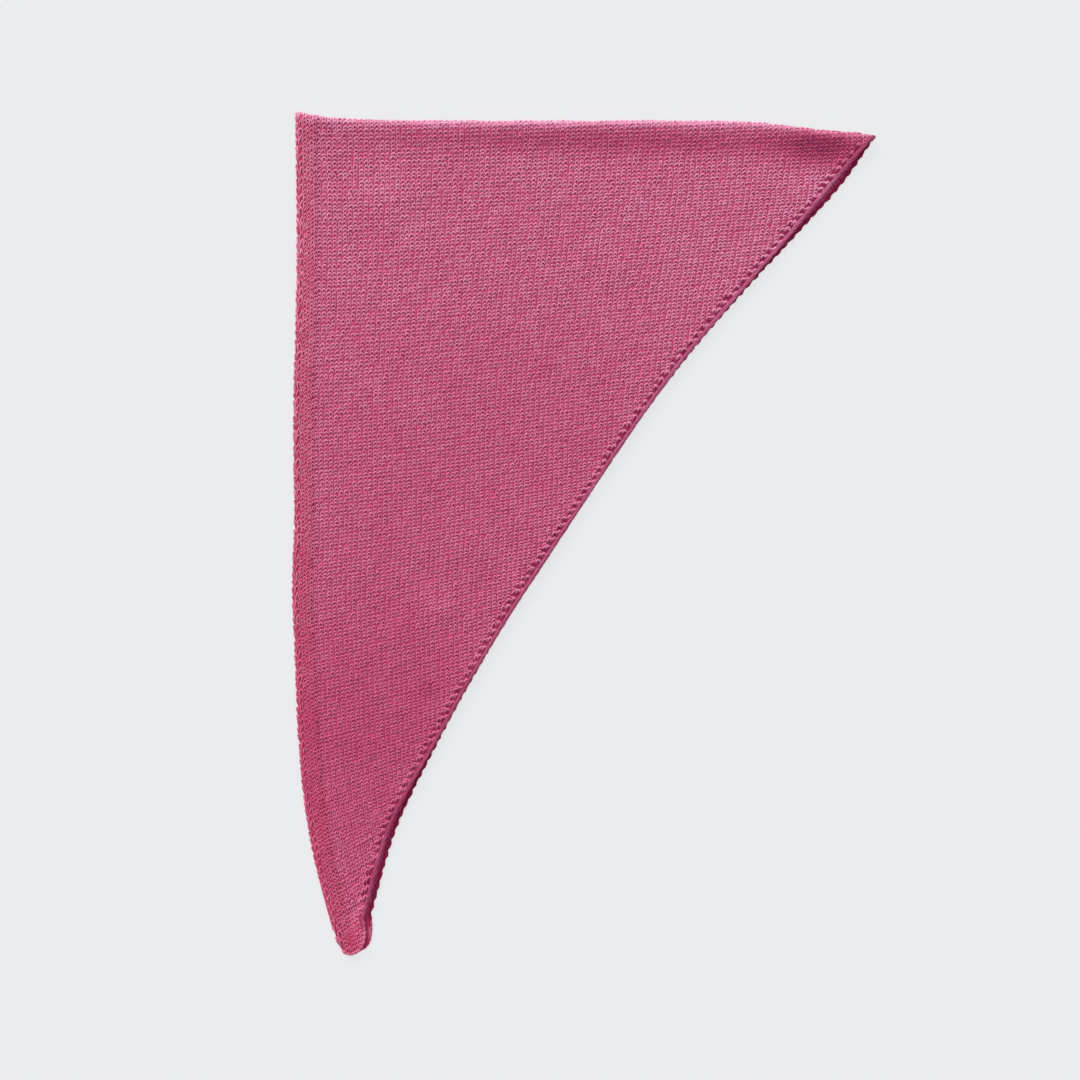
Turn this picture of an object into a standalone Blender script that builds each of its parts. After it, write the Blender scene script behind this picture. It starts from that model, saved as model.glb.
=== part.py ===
"""A hand-knitted triangle shawl, folded once across its widest course and laid flat.

Metres, +Z up. X runs along the fold and Y runs up the wales towards it. The origin is the
middle of the folded outline's box, on the surface that the shawl lies on.

The shawl is knitted sideways from tip to tip, with a knitted cord along every edge. Folded,
its two halves lie on each other: the half that was cast on lies beneath and shows a little
past the shaped edge, and the half that was cast off lies on top.
"""

import math
from typing import NamedTuple

import bpy
import numpy as np

MM = 0.001

# The cloth and its cords
CLOTH = 2.4 * MM
CORD_THICK = 3.1 * MM
LONG_CORD_WIDTH = 15.2 * MM
SHORT_CORD_WIDTH = 4.0 * MM
SEAM = 0.3 * MM
SECTION_POWER = 0.7

# How the upper half lies on the half beneath, middle to middle
CLOTH_RISE = 3.3 * MM
CORD_RISE = 3.45 * MM

# The turn at the fold: the height of its half circle, its reach along the cloth, and the
# stretch over which the upper half sinks back from that height
CLOTH_TURN_HEIGHT = 4.6 * MM
CORD_TURN_HEIGHT = 5.2 * MM
TURN_REACH = 3.2 * MM
SINK_LENGTH = 30.0 * MM
FOLD_LINE_FADES = 23.0 * MM

# The rounded ends, past the last course
UPPER_END_LENGTH = 21.4 * MM
UNDER_END_LENGTH = 16.0 * MM
END_DROOP = 1.1 * MM
END_LEAN = math.radians(14.0)
END_ARC = math.radians(84.0)
END_SHOULDER = 0.8
END_THINS = 0.35

# The folded outline's box, which places the origin in its middle
OUTLINE_LEFT = -3.2 * MM
OUTLINE_RIGHT = 463.2 * MM
OUTLINE_LENGTH = 674.4 * MM

# How finely the solids are cut
TURN_STEPS = 8
NEAR_FOLD_MM = (0.0, 4.0, 8.5, 13.5, 19.0, 25.0, 32.0)
COURSE_STEP = 20.0 * MM
CLOTH_COLUMNS = 14
LONG_CORD_RING = 10
SHORT_CORD_RING = 8
END_RING = 12
END_STEPS = 7


class Course(NamedTuple):
    """A line across the upper half, in millimetres in and down from the fold's left corner.

    under_in is how far the half beneath stays inside the long edge, and under_out is how far
    it shows past the shaped edge.
    """

    left_in: float
    left_down: float
    right_in: float
    right_down: float
    under_in: float
    under_out: float


COURSES = (
    Course(0.0, 0.0, 463.2, 19.2, 0.0, 0.0),
    Course(0.6, 54.9, 426.8, 60.8, 1.0, 4.6),
    Course(1.0, 109.8, 389.6, 104.8, 1.4, 2.8),
    Course(-0.3, 164.6, 347.2, 152.8, 1.6, 1.0),
    Course(-1.4, 219.4, 306.0, 201.6, 1.6, 0.0),
    Course(-1.6, 274.3, 271.2, 249.6, 1.6, -0.6),
    Course(-1.0, 329.2, 238.0, 298.4, 1.6, -0.8),
    Course(-3.0, 384.1, 206.8, 346.4, 1.6, -0.8),
    Course(-1.4, 439.0, 174.4, 395.2, 1.6, -0.4),
    Course(1.6, 493.8, 142.4, 446.4, 1.8, 0.2),
    Course(6.6, 548.6, 112.0, 503.2, 2.2, 0.8),
    Course(16.4, 603.5, 78.0, 568.8, 3.2, 4.2),
    Course(30.4, 658.4, 56.0, 644.8, 4.4, 4.2),
)


class FoldPoint(NamedTuple):
    """A point of the fold line: its share of the way along, and how far down it lies."""

    share: float
    down: float


FOLD_LINE = (
    FoldPoint(0.0, 0.0),
    FoldPoint(0.04, 2.6),
    FoldPoint(0.08, 4.8),
    FoldPoint(0.15, 6.5),
    FoldPoint(0.30, 7.2),
    FoldPoint(0.50, 7.2),
    FoldPoint(0.70, 7.4),
    FoldPoint(0.80, 8.6),
    FoldPoint(0.86, 12.0),
    FoldPoint(0.92, 15.4),
    FoldPoint(0.97, 16.9),
    FoldPoint(1.0, 19.2),
)


class Swell(NamedTuple):
    """A soft rise in the upper half, in millimetres, its length turned from the fold's line."""

    middle_in: float
    middle_down: float
    length: float
    width: float
    turn_degrees: float
    height: float


SWELLS = (
    Swell(72.0, 70.0, 46.0, 22.0, 12.0, 1.1),
    Swell(378.0, 62.0, 52.0, 20.0, -38.0, 1.2),
    Swell(250.0, 128.0, 80.0, 30.0, 6.0, 0.8),
    Swell(90.0, 250.0, 70.0, 34.0, 80.0, 0.6),
    Swell(150.0, 340.0, 56.0, 24.0, 55.0, 0.8),
    Swell(100.0, 405.0, 44.0, 20.0, 30.0, 0.9),
    Swell(48.0, 560.0, 40.0, 13.0, -65.0, 0.7),
)


def smooth(at, knots, values):
    """Read a curve through the values at uneven knots, with a slope at each knot."""
    knots = np.asarray(knots, float)
    values = np.asarray(values, float)
    slopes = np.gradient(values, knots)
    index = np.clip(np.searchsorted(knots, at, side="right") - 1, 0, len(knots) - 2)
    width = knots[index + 1] - knots[index]
    u = (at - knots[index]) / width
    start = (1 + 2 * u) * (1 - u) ** 2 * values[index] + u * (1 - u) ** 2 * width * slopes[index]
    end = u * u * (3 - 2 * u) * values[index + 1] - u * u * (1 - u) * width * slopes[index + 1]
    return start + end


def course_column(name, way):
    """One column of the course table, in metres, at shares of the way from fold to tip."""
    values = [getattr(course, name) * MM for course in COURSES]
    return smooth(way, np.linspace(0.0, 1.0, len(COURSES)), values)


def unit(vectors):
    """Vectors scaled to a length of one."""
    return vectors / np.linalg.norm(vectors, axis=-1, keepdims=True)


def edge_line(side, way):
    """One edge of the upper half, as X and Y at shares of the way from fold to tip."""
    corner = np.array([-(OUTLINE_RIGHT + OUTLINE_LEFT) / 2, OUTLINE_LENGTH / 2])
    inward = course_column(f"{side}_in", way)
    return np.stack([inward, -course_column(f"{side}_down", way)], -1) + corner


def edges(way, on_top):
    """Both edges of one half at shares of the way from fold to tip.

    Gives the long edge, the shaped edge, the unit line across the course, and how squarely
    that line meets each edge, which turns a cord's width into a length along the course.
    """
    left, right = edge_line("left", way), edge_line("right", way)
    across = unit(right - left)
    fine = np.linspace(0.0, 1.0, 400)
    square = []
    for side in ("left", "right"):
        run = unit(np.gradient(edge_line(side, fine), axis=0))
        aside = np.stack([np.interp(way, fine, -run[:, 1]), np.interp(way, fine, run[:, 0])], -1)
        square.append(np.abs((across * aside).sum(-1)))
    beneath = np.where(on_top, 0.0, 1.0)
    left = left + across * (course_column("under_in", way) * beneath)[:, None]
    right = right + across * (course_column("under_out", way) / square[1] * beneath)[:, None]
    return left, right, across, square


def plan(share, way, left, right):
    """X and Y of a point a share of the way across its course, on the fold line's own curve."""
    points = left[:, None] * (1 - share[..., None]) + right[:, None] * share[..., None]
    line = smooth(share, [p.share for p in FOLD_LINE], [p.down * MM for p in FOLD_LINE])
    chord = COURSES[0].right_down * MM * share
    fade = np.exp(-way * OUTLINE_LENGTH / FOLD_LINE_FADES)
    points[..., 1] += (chord - line) * fade[:, None]
    return points


def stations(under, over):
    """The courses that cut a piece, from the tip beneath round the fold to the tip on top.

    under and over pick the halves that the piece runs along. Gives each course's share of
    the way from fold to tip, its angle round the turn, and whether it is on top.
    """
    turn = TURN_REACH / OUTLINE_LENGTH
    near = turn + np.array(NEAR_FOLD_MM) * MM / OUTLINE_LENGTH
    far = np.linspace(near[-1], 1.0, round(OUTLINE_LENGTH / COURSE_STEP) + 1)
    flat = np.concatenate([near, far[1:]])[1:]
    quarter = np.linspace(0.0, math.pi / 2, TURN_STEPS // 2 + 1)
    way, angle = [np.zeros(1)], [np.zeros(1)]
    bend = turn * (1 - np.cos(quarter[1:]))
    if under:
        way = [flat[::-1], bend[::-1], *way]
        angle = [np.full(len(flat), -math.pi / 2), -quarter[:0:-1], *angle]
    if over:
        way += [bend, flat]
        angle += [quarter[1:], np.full(len(flat), math.pi / 2)]
    angle = np.concatenate(angle)
    return np.concatenate(way), angle, angle > 0


def height(way, angles, low, rise, turn_height):
    """How high a piece's middle lies: flat beneath, round at the fold, sinking on top."""
    past = np.clip((way * OUTLINE_LENGTH - TURN_REACH) / SINK_LENGTH, 0.0, 1.0)
    sunk = past * past * (3 - 2 * past)
    settled = turn_height + (rise - turn_height) * sunk
    return low + settled * (1 + np.sin(angles)) / 2


def swells(points):
    """The height that the soft rises add at X and Y, before a half is chosen."""
    corner = np.array([-(OUTLINE_RIGHT + OUTLINE_LEFT) / 2, OUTLINE_LENGTH / 2])
    total = np.zeros(points.shape[:-1])
    for swell in SWELLS:
        offset = points - corner - np.array([swell.middle_in, -swell.middle_down]) * MM
        turn = math.radians(swell.turn_degrees)
        along = offset[..., 0] * math.cos(turn) + offset[..., 1] * math.sin(turn)
        aside = offset[..., 1] * math.cos(turn) - offset[..., 0] * math.sin(turn)
        spread = (along / (swell.length * MM)) ** 2 + (aside / (swell.width * MM)) ** 2
        total += swell.height * MM * np.exp(-2.0 * spread)
    return total


def finish(name, colour, roughness):
    """A plain wool finish."""
    material = bpy.data.materials.new(name)
    material.use_nodes = True
    shader = material.node_tree.nodes["Principled BSDF"]
    shader.inputs["Base Color"].default_value = (*colour, 1.0)
    shader.inputs["Roughness"].default_value = roughness
    shader.inputs["Metallic"].default_value = 0.0
    return material


def add_object(name, points, faces, material, parent):
    """Make a mesh object from points and faces."""
    mesh = bpy.data.meshes.new(name)
    mesh.from_pydata(points.tolist(), [], faces)
    mesh.materials.append(material)
    mesh.shade_smooth()
    mesh.update()
    made = bpy.data.objects.new(name, mesh)
    made.parent = parent
    bpy.context.collection.objects.link(made)
    return made


def grid_faces(rows, columns, closed):
    """Quads over a grid of points; closed joins the last column to the first."""
    row = np.arange(rows - 1)[:, None] * columns
    column = np.arange(columns if closed else columns - 1)[None]
    after = (column + 1) % columns
    corners = (row + column, row + after, row + columns + after, row + columns + column)
    return np.stack(corners, -1).reshape(-1, 4).tolist()


def knitted_body(material, parent):
    """The stocking stitch field: one wall, folded over the turn, between the cords."""
    way, angles, on_top = stations(under=True, over=True)
    left, right, _, square = edges(way, on_top)
    width = np.linalg.norm(right - left, axis=-1)
    first = (LONG_CORD_WIDTH + SEAM) / square[0] / width
    last = 1 - (SHORT_CORD_WIDTH + SEAM) / square[1] / width
    share = first[:, None] + (last - first)[:, None] * np.linspace(0.0, 1.0, CLOTH_COLUMNS + 1)
    flat = plan(share, way, left, right)
    z = height(way, angles, CLOTH / 2, CLOTH_RISE, CLOTH_TURN_HEIGHT)
    lift = swells(flat) * (on_top * np.clip(way * OUTLINE_LENGTH / SINK_LENGTH, 0, 1))[:, None]
    points = np.concatenate([flat, (z[:, None] + lift)[..., None]], -1)
    faces = grid_faces(*share.shape, closed=False)
    body = add_object("knitted_body", points.reshape(-1, 3), faces, material, parent)
    wall = body.modifiers.new("Wall", "SOLIDIFY")
    wall.thickness = CLOTH
    wall.offset = 0.0
    return body


def bar(name, path, run, side, half_width, half_thick, ring, material, parent):
    """A closed bar along a path that runs as given, with a squarish section and flat ends."""
    up = unit(np.cross(side, run))
    angle = np.linspace(0.0, 2 * math.pi, ring, endpoint=False) + math.pi / ring
    wide = np.sign(np.cos(angle)) * np.abs(np.cos(angle)) ** SECTION_POWER
    high = np.sign(np.sin(angle)) * np.abs(np.sin(angle)) ** SECTION_POWER
    wide /= wide.max()
    high /= high.max()
    rings = path[:, None] + side[:, None] * (half_width[:, None] * wide)[..., None]
    rings = rings + up[:, None] * (half_thick[:, None] * high)[..., None]
    count = len(path)
    faces = [face[::-1] for face in grid_faces(count, ring, closed=True)]
    faces.append(list(range(ring)))
    faces.append(list(range((count - 1) * ring, count * ring))[::-1])
    return add_object(name, rings.reshape(-1, 3), faces, material, parent)


def edge_cord(name, under, over, along_long_edge, material, parent):
    """A knitted cord along one edge, on the half beneath, the half on top or both."""
    way, angles, on_top = stations(under, over)
    left, right, across, square = edges(way, on_top)
    width = np.linalg.norm(right - left, axis=-1)
    if along_long_edge:
        reach, ring = LONG_CORD_WIDTH / square[0], LONG_CORD_RING
        share = reach / 2 / width
    else:
        reach, ring = SHORT_CORD_WIDTH / square[1], SHORT_CORD_RING
        share = 1 - reach / 2 / width
    flat = plan(share[:, None], way, left, right)[:, 0]
    z = height(way, angles, CORD_THICK / 2, CORD_RISE, CORD_TURN_HEIGHT)
    z[way == 0] += SEAM / 2 * (over - under)
    path = np.concatenate([flat, z[:, None]], -1)
    run = np.gradient(path, axis=0)
    run[way == 0] = (0.0, 0.0, 1.0)
    side = np.concatenate([across, np.zeros((len(way), 1))], -1)
    half_thick = np.full(len(way), CORD_THICK / 2)
    return bar(name, path, run, side, reach / 2, half_thick, ring, material, parent)


def knitted_end(name, on_top, length, material, parent):
    """The rounded end past the last course: as wide as the half, closing in an arc."""
    way = np.array([1.0])
    left, right, across, _ = edges(way, np.array([on_top]))
    middle = (left + right)[0] / 2
    half = np.linalg.norm(right - left) / 2
    lean = np.array([math.sin(END_LEAN), -math.cos(END_LEAN)])
    arc = np.linspace(0.0, END_ARC, END_STEPS + 1)
    reach = SEAM + (length - SEAM) * np.sin(arc)
    low = CORD_THICK / 2 + (CORD_RISE if on_top else 0.0)
    droop = (END_DROOP if on_top else 0.0) * (reach / length) ** 3
    path = np.concatenate([middle + lean * reach[:, None], (low - droop)[:, None]], -1)
    run = np.gradient(path, axis=0)
    side = np.tile(np.append(across[0], 0.0), (len(arc), 1))
    half_width = half * np.cos(arc) ** END_SHOULDER
    half_thick = CORD_THICK / 2 * (1 - END_THINS * np.sin(arc) ** 4)
    return bar(name, path, run, side, half_width, half_thick, END_RING, material, parent)


def main():
    """Clear the scene and lay the folded shawl out."""
    for old in list(bpy.data.objects):
        bpy.data.objects.remove(old, do_unlink=True)
    shawl = bpy.data.objects.new("triangle_shawl", None)
    bpy.context.collection.objects.link(shawl)
    stocking_wool = finish("stocking_wool", (0.50, 0.125, 0.205), 0.92)
    cord_wool = finish("cord_wool", (0.46, 0.105, 0.185), 0.9)
    knitted_body(stocking_wool, shawl)
    edge_cord("long_edge_cord", True, True, True, cord_wool, shawl)
    edge_cord("increase_edge_cord", True, False, False, cord_wool, shawl)
    edge_cord("decrease_edge_cord", False, True, False, cord_wool, shawl)
    knitted_end("cast_on_end", False, UNDER_END_LENGTH, cord_wool, shawl)
    knitted_end("cast_off_end", True, UPPER_END_LENGTH, cord_wool, shawl)


main()
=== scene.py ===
"""Looks of a hand-knitted triangle shawl, folded once across and laid flat.

Metres, +Z up, in the CAD's frame: X runs along the fold and Y runs up the wales towards it.
Every piece is worked out on the cloth itself, which is a plane with two lengths: x along the
fold, and s down the cloth from the fold, positive on the upper half and negative beneath.
"""

import logging
import math
from dataclasses import dataclass, field
from enum import Enum
from typing import NamedTuple

import bpy
import numpy as np
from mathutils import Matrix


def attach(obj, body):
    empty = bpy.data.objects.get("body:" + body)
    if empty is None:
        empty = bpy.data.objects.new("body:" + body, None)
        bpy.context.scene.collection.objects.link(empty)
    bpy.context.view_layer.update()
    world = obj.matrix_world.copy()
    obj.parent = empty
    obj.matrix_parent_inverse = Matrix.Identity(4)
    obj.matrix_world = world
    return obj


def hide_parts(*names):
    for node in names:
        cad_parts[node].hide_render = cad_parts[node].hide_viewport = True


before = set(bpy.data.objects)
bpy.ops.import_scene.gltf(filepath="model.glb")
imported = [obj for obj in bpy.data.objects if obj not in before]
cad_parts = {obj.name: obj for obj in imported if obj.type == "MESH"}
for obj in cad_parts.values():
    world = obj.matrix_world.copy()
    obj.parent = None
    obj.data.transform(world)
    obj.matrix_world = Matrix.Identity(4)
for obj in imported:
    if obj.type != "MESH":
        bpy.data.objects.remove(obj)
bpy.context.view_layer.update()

MM = 0.001
Array = np.ndarray
RESTING = 0.03 * MM

# The folded outline's corner, in the CAD's own numbers
CORNER_X = -0.230
CORNER_Y = 0.3372
COURSE_POINTS = 500


class Half(Enum):
    """The two halves of the folded shawl, by the sign of s."""

    OVER = 1
    UNDER = -1


HALVES = ((Half.OVER, "Upper"), (Half.UNDER, "Lower"))


class Side(Enum):
    """The two long sides of a half."""

    LONG_EDGE = "left"
    SHAPED_EDGE = "right"


class Course(NamedTuple):
    """A line across the upper half, in millimetres in and down from the fold's left corner.

    under_in is how much further in the lower half's long edge lies, and under_out how much
    further out its shaped edge lies.
    """

    left_in: float
    left_down: float
    right_in: float
    right_down: float
    under_in: float
    under_out: float


COURSES = (
    Course(0.0, 0.0, 463.2, 19.2, 0.0, 0.4),
    Course(0.6, 54.9, 427.4, 60.8, 1.0, 5.0),
    Course(1.0, 109.8, 390.8, 104.8, 1.4, 2.4),
    Course(0.2, 164.6, 349.0, 152.8, 1.6, 0.6),
    Course(-1.4, 219.4, 308.2, 201.6, 1.6, 0.0),
    Course(-1.6, 274.3, 273.0, 249.6, 1.6, -0.6),
    Course(-1.0, 329.2, 240.0, 298.4, 1.6, -0.8),
    Course(-2.6, 384.1, 208.4, 346.4, 1.6, -0.8),
    Course(-0.2, 439.0, 176.2, 395.2, 1.6, -0.8),
    Course(1.9, 493.8, 145.0, 446.4, 1.8, 0.0),
    Course(6.6, 548.6, 113.2, 503.2, 2.2, 0.6),
    Course(16.4, 603.5, 77.6, 568.8, 3.2, 4.0),
    Course(31.4, 658.4, 54.8, 644.8, 4.4, 4.2),
)


class FoldPoint(NamedTuple):
    """A point of the fold line: its share of the way along, and how far down it lies, in mm."""

    share: float
    down: float


FOLD_LINE = (
    FoldPoint(0.0, 0.0),
    FoldPoint(0.04, 3.2),
    FoldPoint(0.08, 5.4),
    FoldPoint(0.15, 6.5),
    FoldPoint(0.30, 7.2),
    FoldPoint(0.50, 7.2),
    FoldPoint(0.70, 7.4),
    FoldPoint(0.80, 8.6),
    FoldPoint(0.86, 12.0),
    FoldPoint(0.92, 15.4),
    FoldPoint(0.97, 16.9),
    FoldPoint(1.0, 19.2),
)


class Patch(NamedTuple):
    """A soft oval on the cloth, in millimetres, its length turned from the fold's line."""

    middle_in: float
    middle_down: float
    length: float
    width: float
    turn_degrees: float
    amount: float


# Soft rises in the upper half, each amount a height in millimetres
SWELLS = (
    Patch(72.0, 70.0, 46.0, 22.0, 12.0, 1.1),
    Patch(378.0, 62.0, 52.0, 20.0, -38.0, 1.2),
    Patch(250.0, 128.0, 80.0, 30.0, 6.0, 0.8),
    Patch(90.0, 250.0, 70.0, 34.0, 80.0, 0.6),
    Patch(150.0, 340.0, 56.0, 24.0, 55.0, 0.8),
    Patch(100.0, 405.0, 44.0, 20.0, 30.0, 0.9),
    Patch(48.0, 560.0, 40.0, 13.0, -65.0, 0.7),
)


class Wave(NamedTuple):
    """A faint wave in the upper half: its length in mm, which way it runs and where it starts."""

    length: float
    turn_degrees: float
    phase: float


WAVES = (Wave(31.0, 15.0, 0.4), Wave(43.0, 70.0, 2.1), Wave(23.0, -40.0, 1.3), Wave(57.0, 110.0, 5.0))
WAVE_HEIGHT = 0.11 * MM

# Painted shade under the fold's roll, where the cloth slopes away from the light,
# each amount a share of the wool's range of shades
ROLL_PAINTED_SHADE = (
    Patch(290.0, 25.0, 230.0, 13.0, -1.0, -0.72),
    Patch(418.0, 30.0, 46.0, 19.0, -8.0, -1.45),
)

# Painted light and shade, in the same shares: small paler and deeper patches over the cloth,
# and two wide deeper ones that darken it towards the tip
PAINTED_LIGHT_AND_SHADE = (
    Patch(71.0, 66.0, 26.0, 18.0, 12.0, 0.30),
    Patch(416.0, 56.0, 22.0, 14.0, -50.0, 0.25),
    Patch(115.0, 390.0, 20.0, 15.0, 0.0, 0.25),
    Patch(107.0, 462.0, 18.0, 14.0, 20.0, -0.30),
    Patch(44.0, 662.0, 10.0, 7.0, -70.0, -0.60),
    Patch(60.0, 520.0, 220.0, 160.0, 75.0, -0.90),
    Patch(180.0, 270.0, 260.0, 180.0, 0.0, -0.32),
)

# Paler parts of the lower half's shaped edge, where it bends up into the light
EDGE_SHADES = (
    Patch(70.0, 606.0, 20.0, 7.0, 73.0, 1.0),
    Patch(60.0, 656.0, 12.0, 7.0, 90.0, 0.9),
)

# Painted highlight of the fold's rim: how much paler, how wide, and where along the fold it fades out
RIM_HIGHLIGHT = 1.3
RIM_REACH = 5.0 * MM
RIM_FADES = (370.0 * MM, 430.0 * MM)

# What painted light and shade, pale above nothing and deep below it, do to the yarn's painted shade and tone
SHADE_SINKS = 0.6
SHADE_LIFTS = 0.6
SHADOW_FROM = 0.8
SHADOW_CONTRAST = 0.6
PALEST = 1.8


class Ridge(NamedTuple):
    """How high the fold's roll stands over the cloth at a share of the way along, in mm."""

    share: float
    height: float


RIDGES = (
    Ridge(0.0, 0.6),
    Ridge(0.08, 0.9),
    Ridge(0.20, 1.1),
    Ridge(0.32, 1.8),
    Ridge(0.60, 2.1),
    Ridge(0.82, 2.3),
    Ridge(0.92, 2.9),
    Ridge(1.0, 0.4),
)


class Gauge(NamedTuple):
    """The knitting at a distance down the long edge: millimetres, and degrees of row tilt."""

    down: float
    row: float
    wale: float
    tilt: float


GAUGES = (
    Gauge(0.0, 3.20, 4.26, 2.4),
    Gauge(70.0, 3.20, 4.16, 3.0),
    Gauge(150.0, 3.14, 4.00, 5.5),
    Gauge(230.0, 3.08, 3.92, 6.8),
    Gauge(310.0, 2.99, 3.88, 8.8),
    Gauge(390.0, 2.95, 3.86, 12.0),
    Gauge(430.0, 2.94, 3.82, 13.8),
    Gauge(486.0, 2.94, 3.78, 15.0),
    Gauge(550.0, 2.94, 3.76, 20.6),
    Gauge(574.0, 2.94, 3.76, 23.5),
    Gauge(606.0, 2.94, 3.76, 30.0),
    Gauge(700.0, 2.94, 3.76, 33.0),
)


class Bend(NamedTuple):
    """A point of a stitch's arch: across in wale widths, down in row heights, and out in mm."""

    across: float
    down: float
    out: float
    width: float


ARCH = (
    Bend(-0.30, 1.02, -0.78, 0.0),
    Bend(-0.37, 0.46, -0.26, 0.78),
    Bend(-0.30, -0.06, 0.26, 1.0),
    Bend(0.0, -0.37, 0.32, 1.06),
    Bend(0.30, -0.06, 0.26, 1.0),
    Bend(0.37, 0.46, -0.26, 0.78),
    Bend(0.30, 1.02, -0.78, 0.0),
)
PLAIN_ARCH = (ARCH[0], ARCH[1], Bend(0.0, -0.32, 0.32, 1.06), ARCH[5], ARCH[6])


def smooth(at: Array, knots: Array, values: Array) -> Array:
    """Read a smooth curve through values at uneven knots.

    Args:
        at: Where the curve is read.
        knots: Rising places of the values.
        values: The value at each knot.

    Returns:
        The cubic with the values and their mean slopes at both ends of each stretch.
    """
    knots = np.asarray(knots, float)
    values = np.asarray(values, float)
    slopes = np.gradient(values, knots)
    index = np.clip(np.searchsorted(knots, at, side="right") - 1, 0, len(knots) - 2)
    width = knots[index + 1] - knots[index]
    u = (at - knots[index]) / width
    start = (1 + 2 * u) * (1 - u) ** 2 * values[index] + u * (1 - u) ** 2 * width * slopes[index]
    end = u * u * (3 - 2 * u) * values[index + 1] - u * u * (1 - u) * width * slopes[index + 1]
    return start + end


def ease(share: Array) -> Array:
    """Smooth a share from 0 to 1 so that it starts and ends level."""
    return share * share * (3 - 2 * share)


def gauge_at(down: Array, key: str) -> Array:
    """Read one measure of the knitting, by its name in Gauge, at distances down in metres."""
    return np.interp(down / MM, [g.down for g in GAUGES], [getattr(g, key) for g in GAUGES])


def unit(vectors: Array) -> Array:
    """Vectors scaled to a length of one along their last axis."""
    return vectors / np.linalg.norm(vectors, axis=-1, keepdims=True)


def patch_sum(patches: tuple[Patch, ...], x: Array, y: Array) -> Array:
    """Add up soft ovals over the plan.

    Args:
        patches: The ovals.
        x: How far along the fold.
        y: The plan's other length.

    Returns:
        For each oval its amount times a bell, which is e to minus twice the sum of the squared
        shares of its length and its width.
    """
    total = np.zeros(np.shape(x))
    for patch in patches:
        in_x = x - CORNER_X - patch.middle_in * MM
        in_y = y - CORNER_Y + patch.middle_down * MM
        turn = math.radians(patch.turn_degrees)
        along = in_x * math.cos(turn) + in_y * math.sin(turn)
        aside = in_y * math.cos(turn) - in_x * math.sin(turn)
        spread = (along / (patch.length * MM)) ** 2 + (aside / (patch.width * MM)) ** 2
        total += patch.amount * np.exp(-2.0 * spread)
    return total


class Rounding(NamedTuple):
    """A half's rounded end: its length past the last course, its lean and its shoulders.

    The width falls as the cosine to the power of shoulder.
    """

    length: float
    lean: float
    shoulder: float


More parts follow.
